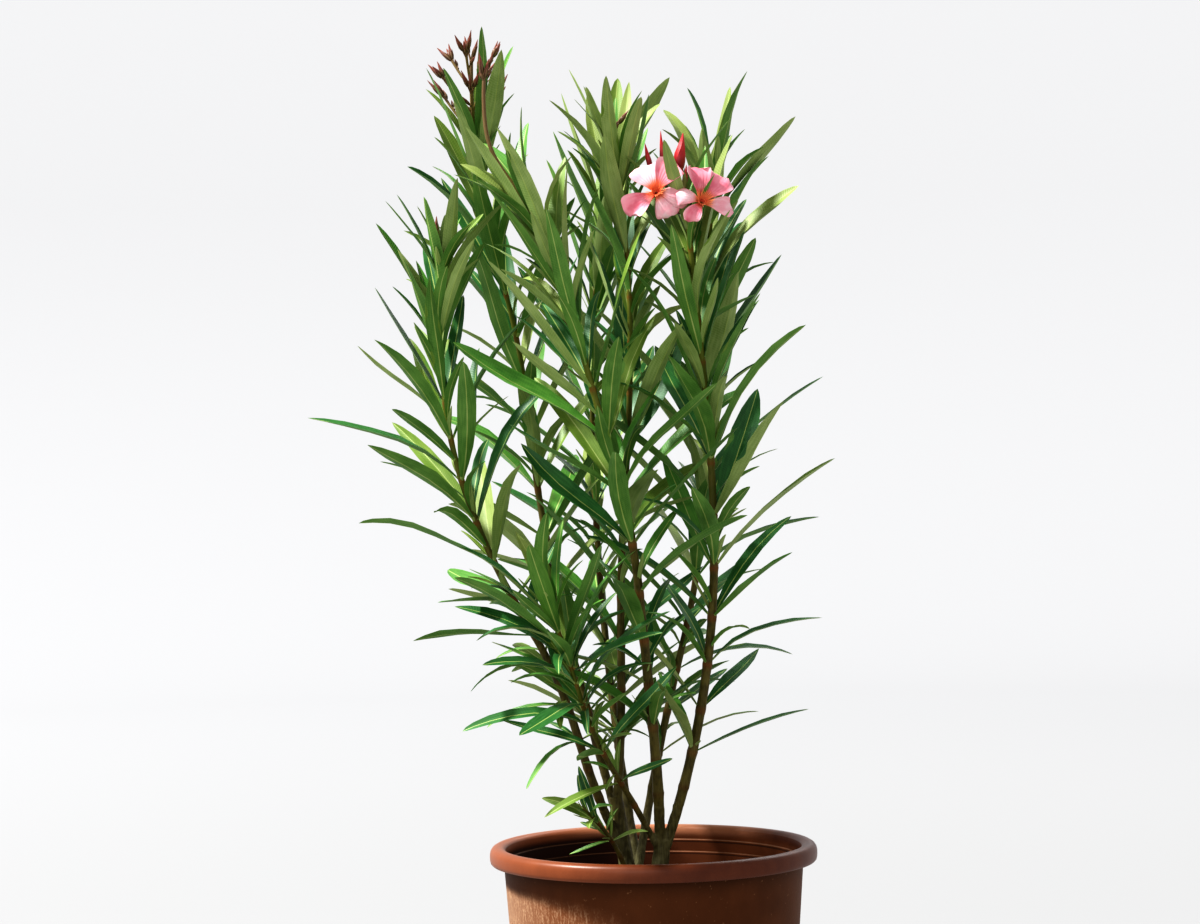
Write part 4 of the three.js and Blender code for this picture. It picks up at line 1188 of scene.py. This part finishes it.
petal_skins = [
    petal_finish("petal_blush", (0.78, 0.52, 0.55), (0.74, 0.35, 0.4), (0.78, 0.36, 0.41), (0.8, 0.22, 0.1)),
    petal_finish(
        "petal_rose", (0.74, 0.27, 0.33), (0.64, 0.15, 0.21), (0.86, 0.46, 0.52), (0.76, 0.14, 0.07)
    ),
    petal_finish("petal_back", (0.76, 0.3, 0.36), (0.82, 0.44, 0.48), (0.7, 0.2, 0.26), (0.66, 0.1, 0.07)),
]
throat_skin = bud_finish("flower_throat", (0.6, 0.07, 0.03), (0.88, 0.34, 0.14), 0.5)
calyx_skin = bud_finish("flower_calyx", (0.09, 0.045, 0.014), (0.3, 0.05, 0.03), 0.55)
red_bud = bud_finish("red_bud_petals", (0.25, 0.008, 0.012), (0.46, 0.018, 0.024), 0.45)

cane = cane_named(BLOSSOM["cane"])
tip, way = cane["stem"].on(cane["length"])
foot = tip + way * GAP
fork = foot + way * BLOSSOM["neck"][0] / 2
draw = seeded(77)
petals, throats, stalks, red_buds = Heap(), Heap(), Heap(), Heap()
add_stalk(stalks, foot - way * 2, foot + way * BLOSSOM["neck"][0], BLOSSOM["neck"][1], marks=(0.2, 0))
length, narrow, flared = BLOSSOM["tube"]
for flower in BLOSSOM["flowers"]:
    axis = unit(flower["faces"])
    calyx = foot + np.array(flower["at"])
    mouth = calyx + axis * length
    add_stalk(stalks, fork, calyx + axis, BLOSSOM["pedicel"], bend=(0, 0, -1.5), marks=(0.4, 0))
    sides = aside(axis)
    profile = (
        (0, narrow), (0.25, narrow * 1.15), (0.5, narrow * 1.5), (0.75, flared * 0.72), (1, flared * 1.05),
    )
    outer = [ring(calyx + axis * length * t, axis, r, 16, sides) for t, r in profile]
    inner = [ring(calyx + axis * length * t, axis, r - 0.5, 16, sides) for t, r in reversed(profile[1:])]
    throats.tube(outer + inner, [(t, 0) for t, _ in profile] + [(1, 0)] * 4)
    u = unit(np.cross(axis, np.cross(np.array(sides, dtype=float), axis)))
    v = np.cross(axis, u)
    for turn, *petal in flower["petals"]:
        a = math.radians(turn)
        out = math.cos(a) * u + math.sin(a) * v
        add_petal(petals, mouth - axis * 4 + out, mouth + out * 1.5 - axis * 1.5, axis, out, petal, draw)
        for tooth in range(5):
            b = a + math.radians(13 * (tooth - 2))
            spoke = math.cos(b) * u + math.sin(b) * v
            start = mouth + spoke * flared * 0.8 - axis
            end = start + spoke * (3 + 3.5 * draw()) + axis * (5 + 4 * draw())
            bend, steps = spoke * 0.8 + axis * 0.9, np.linspace(0, 1, 5)
            tooth_way = unit(end - start)
            rings = [
                ring(mix(start, end, t) + bend * math.sin(math.pi * t), tooth_way, 0.6 * (1 - 0.75 * t), 5)
                for t in steps
            ]
            throats.tube(rings, [(0.3 + 0.7 * t, 0) for t in steps], point=True)
        sepal_way, side = unit(axis + out * 0.35), np.cross(axis, out)
        points = [
            calyx + out * 1.0 - side * 1.1,
            calyx + out * 1.0 + side * 1.1,
            calyx + out * 2.0 + sepal_way * 2.6 + side * 0.9,
            calyx + out * 1.9 + sepal_way * 6.2,
            calyx + out * 2.0 + sepal_way * 2.6 - side * 0.9,
            calyx + out * 1.2 + sepal_way * 2.6,
        ]
        faces = [(0, 1, 2, 4), (4, 2, 3), (1, 0, 5), (2, 1, 5), (3, 2, 5), (4, 3, 5), (0, 4, 5)]
        stalks.add(points, faces, 0, (0.9, 0))
for bud in BLOSSOM["buds"]:
    base = foot + np.array(bud["at"])
    up = tilted(bud["lean"], 0)
    add_stalk(stalks, fork, base + way * 2, BLOSSOM["pedicel"], bend=(1.5, 0, 0), marks=(0.5, 0))
    add_bud(red_buds, base, up, bud["length"], bud["radius"], draw, sepal=0.16)
keep(petals.piece("right_blossom_petals", petal_skins, 80), "petals", BLOSSOM["name"])
keep(throats.piece("right_blossom_throats", [throat_skin], 60), "petals")
keep(stalks.piece("right_blossom_stalks", [calyx_skin], 60), "buds")
keep(red_buds.piece("right_blossom_buds", [red_bud, calyx_skin], 50), "petals")

# ---- Studio ----
# The pot stands on the floor of a plain round white bowl, lit softly from the left and above. The bowl is far
# enough round the plant to look the same from every side.

# In metres.
FLOOR_RADIUS, BEND, BOWL_HEIGHT = 5.0, 1.4, 4.6
BOWL_SIDES = 96
bowl_rings = [(0.02, 0), (FLOOR_RADIUS, 0)]
for a in np.radians(np.arange(10, 91, 10)):
    bowl_rings.append((FLOOR_RADIUS + BEND * math.sin(a), BEND - BEND * math.cos(a)))
bowl_rings.append((FLOOR_RADIUS + BEND, BOWL_HEIGHT))
bowl = thrown("studio_bowl", bowl_rings, BOWL_SIDES, scale=1, seen_from_inside=True)
smooth(bowl, 60)
paper = Finish(
    "studio_paper", 0.9, Specular_IOR_Level=0.0, Emission_Color=(1, 1, 1, 1), Emission_Strength=0.42
)
across, depth = (axis_of(paper, paper.place, axis) for axis in ("X", "Y"))
far = ((across * across + depth * depth) ** 0.5).between(1.0, 5.8)
paper.feed("Base Color", paper.blend(far, (0.111, 0.111, 0.111), (0.168, 0.168, 0.172)))
bowl.data.materials.append(paper.material)

# Each light's place, size and power. They all face the middle of the crown.
centre = Vector((-0.04, 0, 0.62))
LIGHTS = (
    ("key", (-5.0, -0.4, 7.6), 1.0, 1340),
    ("fill", (-1.2, -3.6, 2.0), 2.4, 24),
    ("rim", (0.9, 2.6, 2.4), 1.4, 12),
)
for name, place, size, power in LIGHTS:
    bpy.ops.object.light_add(type="AREA", location=place)
    light = bpy.context.active_object
    light.name = f"{name}_light"
    light.data.shape, light.data.size, light.data.energy = "DISK", size, power
    light.rotation_euler = (centre - Vector(place)).to_track_quat("-Z", "Y").to_euler()
    light.visible_camera = False

sky = bpy.data.worlds.new("studio_sky")
sky.use_nodes = True
sky.node_tree.nodes["Background"].inputs["Color"].default_value = (0.98, 0.99, 1.0, 1)
sky.node_tree.nodes["Background"].inputs["Strength"].default_value = 0.5
bpy.context.scene.world = sky
bpy.context.scene.view_settings.view_transform = "Standard"
bpy.context.scene.view_settings.look = "High Contrast"

bpy.ops.object.camera_add(location=(-0.0428, -2.7, 0.6055), rotation=(math.radians(90), math.radians(1), 0))
camera = bpy.context.active_object
camera.data.lens, camera.data.sensor_width = 88.3, 36
camera.data.clip_end = 60
bpy.context.scene.camera = camera

bpy.context.view_layer.update()
